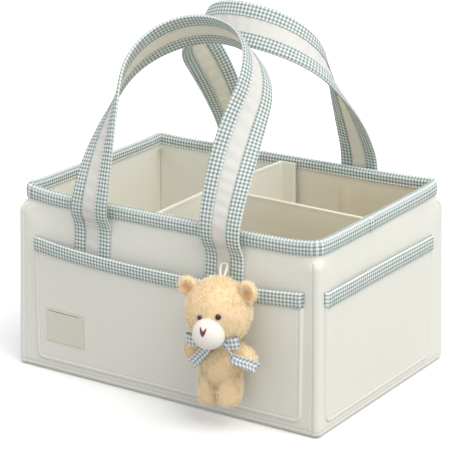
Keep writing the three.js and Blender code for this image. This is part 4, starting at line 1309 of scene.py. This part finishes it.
def divider_outline(start, end):
    """The plan from start to end along X, with both flaps folded towards +Y, and its ways out."""
    rises = [4.5, 8, 12, 14.4, 14.8, 15.3, 17.2]

    def folded(edge, way):
        """One end, from the panel's front round the flap and back to the panel's rear."""
        inner = edge - way * FLAP_THICKNESS
        return [
            (edge - way * 1.6, 0, way * 0.3, -0.9), (edge - way * 0.5, 0.5, way * 0.7, -0.7),
            (edge, 2, way, 0),
            *[(edge, y, way, 0) for y in rises],
            (edge - way * 0.3, FLAP_WIDTH, way * 0.5, 0.8),
            (inner + way * (0.3 - HEM), FLAP_WIDTH, -way * 0.5, 0.8),
            *[(inner - way * HEM * soft_step((y - 14.4) / 0.9), y, -way, 0) for y in reversed(rises)],
            (inner - way * 0.7, PANEL_THICKNESS + 0.1, -way * 0.5, 0.8),
        ]

    front = [(x, 0, 0, -1) for x in spaced(start + 3, end - 3, 14)]
    inset = FLAP_THICKNESS + 4
    rear = [(x, PANEL_THICKNESS, 0, 1) for x in spaced(end - inset, start + inset, 14)]
    start_end = folded(start, -1)[::-1]
    return np.array([*start_end[-2:], *front, *folded(end, 1), *rear, *start_end[:-1]])


def divider_rise(x, height, start, end, rises):
    """How much higher than plain the sleeve's top edge stands at its start, middle and end."""
    return np.interp(x, (start, (start + end) / 2, end), rises) * (height / DIVIDER_TOP) ** 2


def divider(name, start, end, place, rises):
    outline = divider_outline(start, end)
    steps = np.linalg.norm(np.diff(outline[:, :2], axis=0), axis=1)
    distances = np.concatenate([[0], np.cumsum(steps)])
    heights = stops(
        DIVIDER_FOOT + np.array([0, 0.2, 0.6, 1.2, 3]), spaced(14, 154, 8),
        DIVIDER_TOP - np.array([0, 0.12, 0.4, 0.8, 1.3, 2.0, 2.8, 3.6, 6]),
    )

    def rule(distance, height):
        x, y, out_x, out_y = (np.interp(distance, distances, column) for column in outline.T)
        end_gap = np.minimum(height - DIVIDER_FOOT, DIVIDER_TOP - height)
        draw_in = 0.7 * (1 - np.sqrt(np.clip(1 - (1 - np.clip(end_gap / 0.8, 0, 1)) ** 2, 0, 1)))
        on_panel = (np.abs(out_y) > 0.95) & (y < PANEL_THICKNESS + 0.05)
        inwards = draw_in + 0.35 * hump(SEAM_HEIGHT - height, 0.8) * on_panel
        bow = divider_bow(np.clip((x - start) / (end - start), 0, 1), height)
        x, y = x - out_x * inwards, y - out_y * inwards + bow
        return place(np.stack([x, y, height + divider_rise(x, height, start, end, rises)], 1))

    piece = cloth(name, distances, heights, rule, closed=True)
    repair(piece, merge=True, fill=True, outward=True)
    smooth_faces(piece, 50)
    return piece


def divider_bow(share, height):
    return 0.3 * np.sin(share * math.pi * 2) * np.sin((height - 20) / 60)


def sleeve_stitches(name, start, end, place, rises, body):
    for title, face, way in (("front", -0.05, -1), ("rear", PANEL_THICKNESS + 0.05, 1)):
        def rule(t, out, face=face, way=way):
            bow = divider_bow((t - start) / (end - start), SEAM_HEIGHT)
            height = SEAM_HEIGHT + divider_rise(t, SEAM_HEIGHT, start, end, rises)
            return place(np.stack([t, face + bow + way * out, height], 1))
        stitch_row(
            f"{name}_{title}", rule, start + 5, end - 5, pale_thread, "canvas", body, pitch=3.2, width=0.34
        )


def cross_turn(points):
    """From the flat plan to the cross divider's place, bowed at the back: its flaps turn to +X."""
    bow = CROSS_BOW * soft_step((-points[:, 0] - 15) / 80)
    return np.stack([points[:, 1] - 14.55 + bow, -points[:, 0], points[:, 2]], 1)


def long_shift(points):
    return points + np.array([0, -12.75, 0])


# For each divider: its start and end in the flat plan, its place, and how far its top edge rises
DIVIDERS = {
    "cross_divider": (-CROSS_FACE, CROSS_FACE, cross_turn, (3.4, 3.4, 1.7)),
    "long_divider": (-9.45, 150.0, long_shift, (3.4, 2.4, 1.2)),
}
# The cross divider takes the lighter copy of the lining, which paints light on it
for body, finish in (("cross_divider", lighter_lining_copy), ("long_divider", lining_cloth)):
    sleeve = divider(f"{body}_sleeve", *DIVIDERS[body])
    hand_over(sleeve, finish, "canvas", body, f"{body}_panel")
for body, plan in DIVIDERS.items():
    sleeve_stitches(f"{body}_stitches", *plan, body)


def hook_strip(node, body, outside):
    """A tape with rows of small hooks, laid where its plain solid is, facing along X or Y."""
    low, high = (np.array(corner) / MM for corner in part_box(node))
    if node == "cross_divider_back_hook_strip":
        low[0] += CROSS_BOW
        high[0] += CROSS_BOW
    run, depth = (0, 1) if high[0] - low[0] > high[1] - low[1] else (1, 0)
    half = (high[run] - low[run]) / 2
    turn = outside if run else -outside
    side = high[depth] if outside > 0 else low[depth]

    def rule(across, up):
        points = np.zeros((len(across), 3))
        points[:, run] = turn * across + (low[run] + high[run]) / 2
        points[:, depth] = side + 0.12 * np.sin(across * 4.1) * np.sin(up * 2.2) - 0.15 * outside
        points[:, 2] = up + low[2]
        return points

    strip = cloth(
        f"{node}_tape", spaced(-half, half, 0.8), spaced(0, high[2] - low[2], 1.4), rule, thickness=0.8
    )
    hand_over(strip, hook_tape, "hook", body, node)


for body, title, outside in (
    ("cross_divider", "front", -1), ("cross_divider", "back", 1),
    ("long_divider", "left", -1), ("long_divider", "right", 1),
):
    hook_strip(f"{body}_{title}_hook_strip", body, outside)
print("dividers and hook strips are made")

# %% [markdown]
# The toy bear is a stuffed form. Each part starts as a sphere, is shaped to its rough outline, and is
# then filled like the real one: a cloth simulation blows the skin up from inside for a few steps. The
# pile comes after that, since a simulation works on a plain skin.

# %% Bear skins
BEAR_PLACE, BEAR_BACK, BEAR_FOOT = 79.2, 122.6, 19.0
BEAR_ROLL, HEAD_ROLL, HEAD_TURN = 3, -3.5, 13
HEAD = dict(width=27.5, depth=25, height=28)
HEAD_CENTRE = np.array([0, -25.0, 93.5])
BEAR_GAP = 0.3
TORSO = dict(radius=18, depth=16, foot=24, top=72)
TORSO_Y = -TORSO["depth"] - BEAR_GAP
bear_matrix = (
    Matrix.Translation((BEAR_PLACE, -BEAR_BACK, BEAR_FOOT)) @ Matrix.Rotation(math.radians(BEAR_ROLL), 4, "Y")
)


def turn_matrix(axis, degrees):
    return np.array(Matrix.Rotation(math.radians(degrees), 3, axis))


def with_head(points):
    """The head sits a little rolled and turned on the neck."""
    turn = turn_matrix("Z", HEAD_TURN) @ turn_matrix("Y", HEAD_ROLL)
    return (points - HEAD_CENTRE) @ turn.T + HEAD_CENTRE


def to_basket(points):
    matrix = np.array(bear_matrix)
    return points @ matrix[:3, :3].T + matrix[:3, 3]


def ball(name, rule, segments=48, rings=32):
    """A unit sphere whose corners a rule moves, in the bear's own millimetres."""
    start_clean()
    bpy.ops.mesh.primitive_uv_sphere_add(segments=segments, ring_count=rings, radius=1, location=(0, 0, 0))
    piece = bpy.context.object
    piece.name = piece.data.name = name
    move_corners(piece.data, to_basket(rule(corners_of(piece.data))) * MM)
    smooth_faces(piece, 80)
    return piece


def swell(piece, voxel, cap):
    """Fills a skin: it is remeshed evenly and blown up gently, and no point moves further than cap."""
    make_only(piece)
    apply_modifier(piece, "REMESH", mode="VOXEL", voxel_size=voxel * MM)
    start = corners_of(piece.data)
    modifier = piece.modifiers.new("fill", "CLOTH")
    modifier.settings.use_pressure = True
    modifier.settings.uniform_pressure_force = 4
    modifier.settings.effector_weights.gravity = 0
    modifier.settings.quality = 4
    modifier.point_cache.frame_start, modifier.point_cache.frame_end = 1, 12
    for step in range(1, 13):
        scene.frame_set(step)
    make_only(piece)
    bpy.ops.object.modifier_apply(modifier=modifier.name)
    moved = corners_of(piece.data) - start
    length = np.linalg.norm(moved, axis=1, keepdims=True)
    limit = cap * MM
    move_corners(piece.data, start + moved * np.minimum(1, limit / np.maximum(length, 1e-9)))
    scene.frame_set(1)
    apply_modifier(piece, "SUBSURF", levels=1, render_levels=1)
    smooth_faces(piece, 80)


def fix_face_order(piece):
    """Rebuilds a ball's faces in a fixed order, since a new sphere's own order differs between runs."""
    mesh = piece.data
    points, faces = corners_of(mesh), []
    for face in mesh.polygons:
        numbers = list(face.vertices)
        first = numbers.index(min(numbers))
        faces.append(numbers[first:] + numbers[:first])
    mesh.clear_geometry()
    mesh.from_pydata(points.tolist(), [], sorted(faces))
    smooth_faces(piece, 80)


def head_rule(points):
    x, y, z = points.T
    cheeks = 1 - 0.07 * z
    brow = 1 + 0.05 * np.exp(-((z - 0.25) / 0.35) ** 2) * (y < 0)
    shaped = np.stack([x * HEAD["width"] * cheeks, y * HEAD["depth"] * brow, z * HEAD["height"]], 1)
    return with_head(shaped + HEAD_CENTRE)


def torso_rule(points):
    x, y, z = points.T
    up = (z + 1) / 2
    shares = [0, 0.66, 0.93, 1, 0.97, 0.82, 0.66, 0.45]
    width = np.interp(up, [0, 0.02, 0.12, 0.34, 0.54, 0.74, 0.87, 1], shares)
    flat = np.maximum(np.hypot(x, y), 1e-9)
    radius = TORSO["radius"] * width * np.minimum(1, flat / np.sqrt(np.maximum(1 - z * z, 1e-6)))
    shaped = np.stack([
        x / flat * radius,
        y / flat * radius * TORSO["depth"] / TORSO["radius"] * (0.84 + 0.16 * soft_step(up / 0.45)),
        TORSO["foot"] + up * (TORSO["top"] - TORSO["foot"]),
    ], 1)
    return shaped + np.array([0, TORSO_Y, 0])


LIMB_STOPS = [0, 0.02, 0.06, 0.16, 0.42, 0.68, 0.87, 0.95, 0.985, 1]
ARM_FULLNESS = [0.2, 0.5, 0.66, 0.8, 0.94, 1, 0.86, 0.6, 0.34, 0]
LEG_FULLNESS = [0.2, 0.5, 0.7, 0.88, 0.98, 1, 0.88, 0.64, 0.36, 0]


def limb_rule(points, length, radius, turn, root, fullness=ARM_FULLNESS, depth=1.0):
    x, y, z = points.T
    up = (z + 1) / 2
    width = np.interp(up, LIMB_STOPS, fullness)
    flat = np.maximum(np.hypot(x, y), 1e-9)
    shaped = np.stack([x / flat * radius * width, y / flat * radius * width * depth, up * length], 1)
    shaped[flat < 1e-6, :2] = 0
    return shaped @ turn.T + root


def arm_rule(side):
    swing = 115 if side > 0 else 132
    turn = turn_matrix("Y", side * swing) @ turn_matrix("X", 12)
    root = np.array([side * 15.8, TORSO_Y, 59.0]) - turn @ np.array([0, 0, 4.0])
    length = 24.5 if side > 0 else 27.5
    return lambda points: limb_rule(points, length, 7.6, turn, root)


def leg_rule(side):
    turn = turn_matrix("Y", side * 179)
    length, radius, shift = (38, 9.1, 8.6) if side > 0 else (42.4, 9.6, 9.0)
    root = np.array([side * shift, TORSO_Y, 44.0])
    return lambda points: limb_rule(points, length, radius, turn, root, LEG_FULLNESS, 1.3)


EAR_RADIUS = 8.3


def ear_place(side):
    return HEAD_CENTRE + np.array([side * 27.5, 0, 18.8])


def ear_rule(side):
    tall, turn, shift = (1.17, -14, [-0.9, 0, 0.4]) if side > 0 else (1, 0, [0, 0, 0])

    def rule(points):
        x, y, z = points.T
        hollow = 3.6 * np.clip(1 - (x**2 + z**2) / 0.6, 0, 1) * (y < 0)
        shaped = np.stack([x * EAR_RADIUS, y * 4.1 + hollow, z * EAR_RADIUS * tall], 1)
        return with_head(shaped @ turn_matrix("Z", turn).T + np.array(shift) + ear_place(side))
    return rule


# For each part: its rule, the size of the remesh and how far the filling may move a point
skin_plan = {
    "bear_head": (head_rule, 1.8, 1.2), "bear_torso": (torso_rule, 1.8, 1.0),
    "bear_left_arm": (arm_rule(-1), 1.4, 0.6), "bear_right_arm": (arm_rule(1), 1.4, 0.6),
    "bear_left_leg": (leg_rule(-1), 1.4, 0.8), "bear_right_leg": (leg_rule(1), 1.4, 0.8),
    "bear_left_ear": (ear_rule(-1), None, 0), "bear_right_ear": (ear_rule(1), None, 0),
}
bear_skins = {}
for node, (rule, voxel, cap) in skin_plan.items():
    skin = ball(f"{node}_plush", rule)
    if voxel:
        swell(skin, voxel, cap)
    else:
        fix_face_order(skin)
    bear_skins[node] = skin
print("bear skins:", {node: len(skin.data.vertices) for node, skin in bear_skins.items()})

# %% [markdown]
# The pile is made of thin curled strips, each with a root, a bent middle and a pointed tip. They are
# scattered over the skin in proportion to its area, lean the way the nap was brushed, and curl in
# small tufts because neighbours share most of their lean. Where the muzzle, the eyes or another
# part covers the skin there is none.

# %% Pile
MUZZLE = dict(width=13.3, depth=12, height=13.8)
MUZZLE_CENTRE = np.array([0, HEAD_CENTRE[1] - HEAD["depth"] + 1.5, HEAD_CENTRE[2] - 11.7])
EYE_PLACES = []
for eye_x, eye_z in ((-6.7, HEAD_CENTRE[2] + 1.6), (8.8, HEAD_CENTRE[2] + 3.4)):
    share = 1 - (eye_x / HEAD["width"]) ** 2 - ((eye_z - HEAD_CENTRE[2]) / HEAD["height"]) ** 2
    EYE_PLACES.append(np.array([eye_x, HEAD_CENTRE[1] - HEAD["depth"] * math.sqrt(share) - 0.6, eye_z]))
eye_spots = [to_basket(with_head(place[None]))[0] for place in EYE_PLACES]
muzzle_spot = to_basket(with_head(MUZZLE_CENTRE[None]))[0]


def smooth_noise(points, scale, channel):
    """A soft random field made of a few waves, so that close places get close values."""
    rng = np.random.default_rng(100 + channel)
    ways, phases = rng.normal(size=(9, 3)) / scale, rng.uniform(0, 2 * math.pi, 9)
    return np.sin(points @ ways.T + phases).sum(1) / 3


def on_skin(mesh, count):
    """Random places on a mesh, even over its area, with their normals."""
    mesh.calc_loop_triangles()
    triangles = np.zeros(len(mesh.loop_triangles) * 3, np.int32)
    mesh.loop_triangles.foreach_get("vertices", triangles)
    triangles = triangles.reshape(-1, 3)
    points = corners_of(mesh) / MM
    a, b, c = (points[triangles[:, index]] for index in range(3))
    cross = np.cross(b - a, c - a)
    area = np.linalg.norm(cross, axis=1)
    chosen = seed.choice(len(area), count, p=area / area.sum())
    u, v = seed.random((2, count))
    flip = u + v > 1
    u, v = np.where(flip, 1 - u, u), np.where(flip, 1 - v, v)
    spots = a[chosen] + (b - a)[chosen] * u[:, None] + (c - a)[chosen] * v[:, None]
    return spots, unit(cross[chosen])


SKIN_SHADE = 0.12


def grow_pile(piece, density, length, keep, warm, width=0.26):
    """Joins a pile to a skin: density is fibres in a square millimetre, keep says which stay."""
    mesh = piece.data
    area = sum(face.area for face in mesh.polygons) / MM**2
    count = int(area * density * (1))
    roots, normals = on_skin(mesh, count)
    wanted = keep(roots)
    roots, normals = roots[wanted], normals[wanted]
    count = len(roots)
    lean = np.stack([smooth_noise(roots, 2.2, channel) for channel in range(3)], 1) * 0.42
    lean = lean + np.array([0.0, 0.0, -0.3]) + seed.normal(0, 0.26, (count, 3))
    lean = lean - normals * (lean * normals).sum(1, keepdims=True)
    size = length * seed.uniform(0.7, 1.25, count)[:, None]
    side = unit(np.cross(normals, lean + seed.normal(0, 0.3, (count, 3))))
    middle = roots + normals * size * 0.56 + lean * size * 0.2
    tip = roots + unit(normals * 0.85 + lean) * size
    half = width / 2
    strip = np.stack([
        roots - normals * 0.3 - side * half, roots - normals * 0.3 + side * half,
        middle + side * half * 0.8, middle - side * half * 0.8, tip,
    ], 1).reshape(-1, 3)
    base = 5 * np.arange(count)[:, None]
    quads = (base + np.array([0, 1, 2, 3])).tolist()
    tips = (base + np.array([3, 2, 4])).tolist()
    pile = bpy.data.meshes.new("pile")
    pile.from_pydata((strip * MM).tolist(), [], quads + tips)
    chart = pile.uv_layers.new(name="UVMap")
    loops = corner_numbers(pile)
    heights = np.tile([0.0, 0.0, 0.55, 0.55, 1.0], count)[loops]
    warmth = np.repeat(warm(roots), 5)[loops]
    chart.data.foreach_set("uv", np.stack([warmth, heights], 1).astype(np.float32).ravel())
    hair = bpy.data.objects.new("pile", pile)
    scene.collection.objects.link(hair)
    if not mesh.uv_layers:
        mesh.uv_layers.new(name="UVMap")
    warmth = warm(corners_of(mesh) / MM)[corner_numbers(mesh)]
    chart = np.stack([warmth, np.full_like(warmth, SKIN_SHADE)], 1)
    mesh.uv_layers[0].data.foreach_set("uv", chart.astype(np.float32).ravel())
    make_only(piece)
    hair.select_set(True)
    bpy.ops.object.join()
    return count


def clear_of_face(roots):
    relative = (roots - muzzle_spot) / np.array([MUZZLE["width"], MUZZLE["depth"] + 3, MUZZLE["height"]])
    keep = (relative**2).sum(1) > 1.08
    for spot in eye_spots:
        keep &= np.linalg.norm(roots - spot, axis=1) > 3.0
    return keep


def everywhere(roots):
    return np.ones(len(roots), bool)


def plain(roots):
    return np.zeros(len(roots))


def inner_ear(side):
    """How far a place lies inside the ear's hollow, where the plush takes a darker, warmer colour."""
    hollow = to_basket(with_head((ear_place(side) + np.array([0, -3.5, -1.0]))[None]))[0]
    return lambda roots: np.clip(1.9 - np.linalg.norm(roots - hollow, axis=1) / 3.6, 0, 1)


# For each part: fibres in a square millimetre, their length, which of them stay, and the shade
pile_plan = {
    "bear_head": (1.7, 3.2, clear_of_face, plain), "bear_torso": (1.7, 3.2, everywhere, plain),
    "bear_left_arm": (1.8, 3.0, everywhere, plain), "bear_right_arm": (1.8, 3.0, everywhere, plain),
    "bear_left_leg": (1.8, 3.4, everywhere, plain), "bear_right_leg": (1.8, 3.4, everywhere, plain),
    "bear_left_ear": (2.0, 2.4, everywhere, inner_ear(-1)),
    "bear_right_ear": (2.0, 2.4, everywhere, inner_ear(1)),
}
fibres = 0
for node, (density, length, keep, warm) in pile_plan.items():
    skin = bear_skins[node]
    fibres += grow_pile(skin, density, length, keep, warm)
    hand_over(skin, plush, "plush", "bear", node)
print("fibres:", fibres)

# %% [markdown]
# The muzzle is a smooth velour cap, fuller at its foot. The nose is embroidered as a small V of satin
# stitches, so it is built from short rounded strands of thread. The eyes are glossy beads.

# %% Face
def muzzle_rule(points):
    x, y, z = points.T
    wide, deep, tall = MUZZLE["width"] + 0.6, MUZZLE["depth"] + 0.6, MUZZLE["height"] + 0.7
    shaped = np.stack([x * wide * (1 - 0.11 * z), y * deep, z * tall], 1)
    return with_head(shaped + MUZZLE_CENTRE)


muzzle = ball("bear_muzzle_velour", muzzle_rule, 56, 36)
hand_over(muzzle, velour, "muzzle", "bear", "bear_muzzle")

NOSE_CENTRE = MUZZLE_CENTRE + np.array([-0.7, -MUZZLE["depth"] + 0.7, 4.3])


def strand(name, start, end, radius):
    """One strand of embroidery thread between two places on the muzzle."""
    start, end = np.array(start, float), np.array(end, float)
    middle, half = (start + end) / 2, (end - start) / 2
    ahead = half / np.linalg.norm(half)
    side = np.cross(ahead, [0, 1.0, 0])
    side = side / np.linalg.norm(side)
    up = np.cross(side, ahead)

    def rule(points):
        x, y, z = points.T
        arch = 0.5 * (1 - x * x)
        return with_head(
            middle + x[:, None] * half + y[:, None] * side * radius
            + z[:, None] * up * radius - np.outer(arch, [0, 1.0, 0])
        )
    return ball(name, rule, 12, 8)


nose_strands = []
for index in range(7):
    aside = (index - 3) / 3
    top = np.array([2.9 * aside, 1.4 + 0.4 * abs(aside), 4.2 - 2.0 * (1 - abs(aside))])
    foot = np.array([0.3 * aside, -1.1, -4.2 + 0.5 * abs(aside)])
    nose_strands.append(strand(f"nose_strand_{index}", NOSE_CENTRE + top, NOSE_CENTRE + foot, 0.95))
make_only(nose_strands[0])
for piece in nose_strands[1:]:
    piece.select_set(True)
bpy.ops.object.join()
nose = bpy.context.object
nose.name = nose.data.name = "bear_nose_thread"
hand_over(nose, nose_thread, "nose", "bear", "bear_nose")

for title, place in zip(("left", "right"), EYE_PLACES):
    eye = ball(
        f"bear_{title}_eye_bead",
        lambda points, place=place: with_head(points * np.array([2.7, 2.4, 2.7]) + place),
        28, 18,
    )
    hand_over(eye, eye_gloss, "eye", "bear", f"bear_{title}_eye")
print("nose strands:", len(nose_strands))

# %% [markdown]
# The bow is ribbon: a band round the neck, two loops gathered at a knot and two loose ends with notched
# tips. Each is a strip of cloth pinched where the knot holds it. The loops run out and back, and the
# long right end lifts away from the body in a shallow wave.

# %% Bow
RIBBON = 9.0
COLLAR_HEIGHT, COLLAR_RADIUS = 67.0, 14.3
ribbon_acrosses = spaced(-RIBBON / 2, RIBBON / 2, 0.75)
KNOT = np.array([2.0, TORSO_Y - TORSO["depth"] - 2.6, COLLAR_HEIGHT])


def bow_loop(name, side, lift, length):
    outline = Path([
        (0, 0.5), (length * 0.2, 1.7), (length * 0.5, 2.9), (length * 0.8, 2.6), (length * 0.96, 1.3),
        (length, 0), (length * 0.96, -1.3), (length * 0.8, -2.6), (length * 0.5, -2.7), (length * 0.2, -1.6),
        (0, -0.5),
    ])

    def rule(distance, across):
        reach, depth = outline.at(distance)
        pinch = 0.38 + 0.72 * soft_step(reach / length * 1.6)
        fold = 0.7 * np.sin(across * 1.3) * (1 - soft_step(reach / 8))
        flat = np.stack([reach + 2.2, -depth + fold, across * pinch], 1)
        flat = flat @ turn_matrix("Y", -lift).T
        flat[:, 0] *= side
        return to_basket(flat + KNOT)

    piece = cloth(
        name, stops(outline.lengths, spaced(0, outline.length, 1.2)), ribbon_acrosses, rule,
        thickness=0.5, offset=0.0,
    )
    repair(piece, outward=True)
    return piece


def bow_tail(name, length, turn, bend):
    def rule(distance, across):
        notch = RIBBON / 3 * (1 - np.abs(across) / (RIBBON / 2))
        reach = distance / length * (length - notch)
        pinch = 0.45 + 0.55 * soft_step(distance / 9)
        wave = bend * np.sin(distance / length * math.pi * 1.4) - 1.6
        flat = np.stack([reach + 1.5, -0.3 + wave + 0.35 * np.sin(across / 1.6), across * pinch], 1)
        flat = flat @ turn_matrix("Y", -turn).T
        return to_basket(flat + KNOT)
    return cloth(name, spaced(0, length, 0.9), ribbon_acrosses, rule, thickness=0.5, offset=0.0)


LONG_TAIL = Path([
    (3, -36, 67), (8, -37, 70), (12.5, -37.6, 71.8), (16, -37.8, 71.4), (18.6, -37.8, 68.6),
    (20.6, -37.8, 65), (22.6, -37.6, 61.8), (25.4, -37.2, 59.6), (29.5, -36.6, 58.6), (34, -36, 58.3),
    (39.2, -35.6, 58), (44.5, -35.8, 57.4), (49.5, -36.2, 56.4),
])
VIEW_WAY = np.array([-0.522, 0.797, -0.304])


def long_tail_rule(distance, across):
    """The long end leaves the knot on edge, turns over and ends flat with a notched tip."""
    half = RIBBON / 2
    notch = RIBBON / 3 * (1 - np.abs(across) / half)
    reach = distance / LONG_TAIL.length * (LONG_TAIL.length - notch)
    spot = np.stack(LONG_TAIL.at(reach), 1)
    ahead = unit(np.stack(LONG_TAIL.at(reach + 1.5), 1) - np.stack(LONG_TAIL.at(reach - 1.5), 1))
    edge_on = unit(VIEW_WAY - ahead * (ahead @ VIEW_WAY)[:, None])
    flat_on = unit(np.cross(edge_on, ahead))
    opened = (math.pi / 2) * (soft_step((distance - 21) / 13) + 1 - soft_step((distance - 3) / 9))
    side = edge_on * np.cos(opened)[:, None] + flat_on * np.sin(opened)[:, None]
    face = np.cross(side, ahead)
    pinch = 0.5 + 0.5 * soft_step(distance / 9)
    wave = 0.4 * np.sin(across / 1.5) + 0.5 * np.sin(distance / 5.0)
    return to_basket(spot + side * (across * pinch)[:, None] + face * wave[:, None])


bow_parts = {
    "bow_left_loop": bow_loop("bow_left_loop_ribbon", -1, -5, 25),
    "bow_right_loop": bow_loop("bow_right_loop_ribbon", 1, 16, 25),
    "bow_left_tail": bow_tail("bow_left_tail_ribbon", 29, 231, 1.0),
    "bow_right_tail": cloth(
        "bow_right_tail_ribbon", spaced(0, LONG_TAIL.length, 0.9), ribbon_acrosses, long_tail_rule,
        thickness=0.5, offset=0.0,
    ),
}


def collar_rule(distance, across):
    angle = distance / COLLAR_RADIUS
    radius = COLLAR_RADIUS + 0.3
    x, y = radius * np.cos(angle), radius * np.sin(angle) * TORSO["depth"] / TORSO["radius"]
    return to_basket(np.stack([x, y + TORSO_Y, COLLAR_HEIGHT + across * 0.75 + 0.3 * np.sin(angle * 5)], 1))


bow_parts["bow_collar"] = cloth(
    "bow_collar_ribbon", spaced(0, 2 * math.pi * COLLAR_RADIUS, 1.2), spaced(-4, 4, 0.8), collar_rule,
    thickness=0.6, closed=True,
)


def knot_rule(points):
    x, y, z = points.T
    fold = 1 + 0.12 * np.sin(z * 7)
    return np.stack([x * 3.1 * (1 - 0.18 * z * z) * fold, y * 2.6, z * 3.9], 1) + KNOT


knot = ball("bow_knot_ribbon", knot_rule, 24, 16)
chart = knot.data.uv_layers[0].data
knot_chart = np.zeros(len(knot.data.loops) * 2, np.float32)
chart.foreach_get("uv", knot_chart)
chart.foreach_set("uv", knot_chart * 0.02)
bow_parts["bow_knot"] = knot
for node, piece in bow_parts.items():
    hand_over(piece, bow_gingham, "bow", "bear", node)
print("bow pieces:", len(bow_parts))

# %% [markdown]
# The bear hangs by a thin ribbon that is sewn to the right strap. It opens into a small eye there and
# runs down to the crown of the head as two legs. It is a flat tube swept along a bent line.

# %% Hanging loop
SEAT_SHIFT, SEAT_DEPTH = 7, 14
loop_top = on_wall(front_wall, np.array([69.0]), np.array([4.1]), np.array([142.0]))[0]
seat_share = math.sqrt(1 - (SEAT_DEPTH / HEAD["depth"]) ** 2 - (SEAT_SHIFT / HEAD["width"]) ** 2)
loop_seat = to_basket(np.array([[
    -SEAT_SHIFT, HEAD_CENTRE[1] + SEAT_DEPTH, HEAD_CENTRE[2] + HEAD["height"] * seat_share,
]]))[0]
down = loop_seat - loop_top
drop = np.linalg.norm(down)
down = down / drop
loop_side = np.array([1.0, 0, 0]) - down * down[0]
loop_side = loop_side / np.linalg.norm(loop_side)
loop_out = np.cross(loop_side, down)
loop_leg = [(2.0, drop + 4), (1.7, drop), (2.0, drop * 0.65), (2.9, drop * 0.35), (2.8, 1.2), (1.6, -0.6)]
loop_line = Path([*[(-side, fall) for side, fall in loop_leg], (0, -1.1), *reversed(loop_leg)])


def loop_rule(distance, around):
    side, fall = loop_line.at(distance)
    ahead = unit(np.stack(loop_line.at(distance + 0.3), 1) - np.stack(loop_line.at(distance - 0.3), 1))
    wide, thick = 1.1 * np.cos(around), 0.45 * np.sin(around)
    side, fall = side - ahead[:, 1] * wide, fall + ahead[:, 0] * wide
    return loop_top + side[:, None] * loop_side + fall[:, None] * down + thick[:, None] * loop_out


hanging = cloth(
    "bear_loop_ribbon", spaced(0, loop_line.length, 0.8), np.linspace(0, 2 * math.pi, 11), loop_rule,
    closed=True,
)
repair(hanging, merge=True, fill=True, outward=True)
hand_over(hanging, ribbon, "ribbon", "hanging_loop", "bear_loop")
print("hanging loop drop in mm:", round(float(drop), 1))
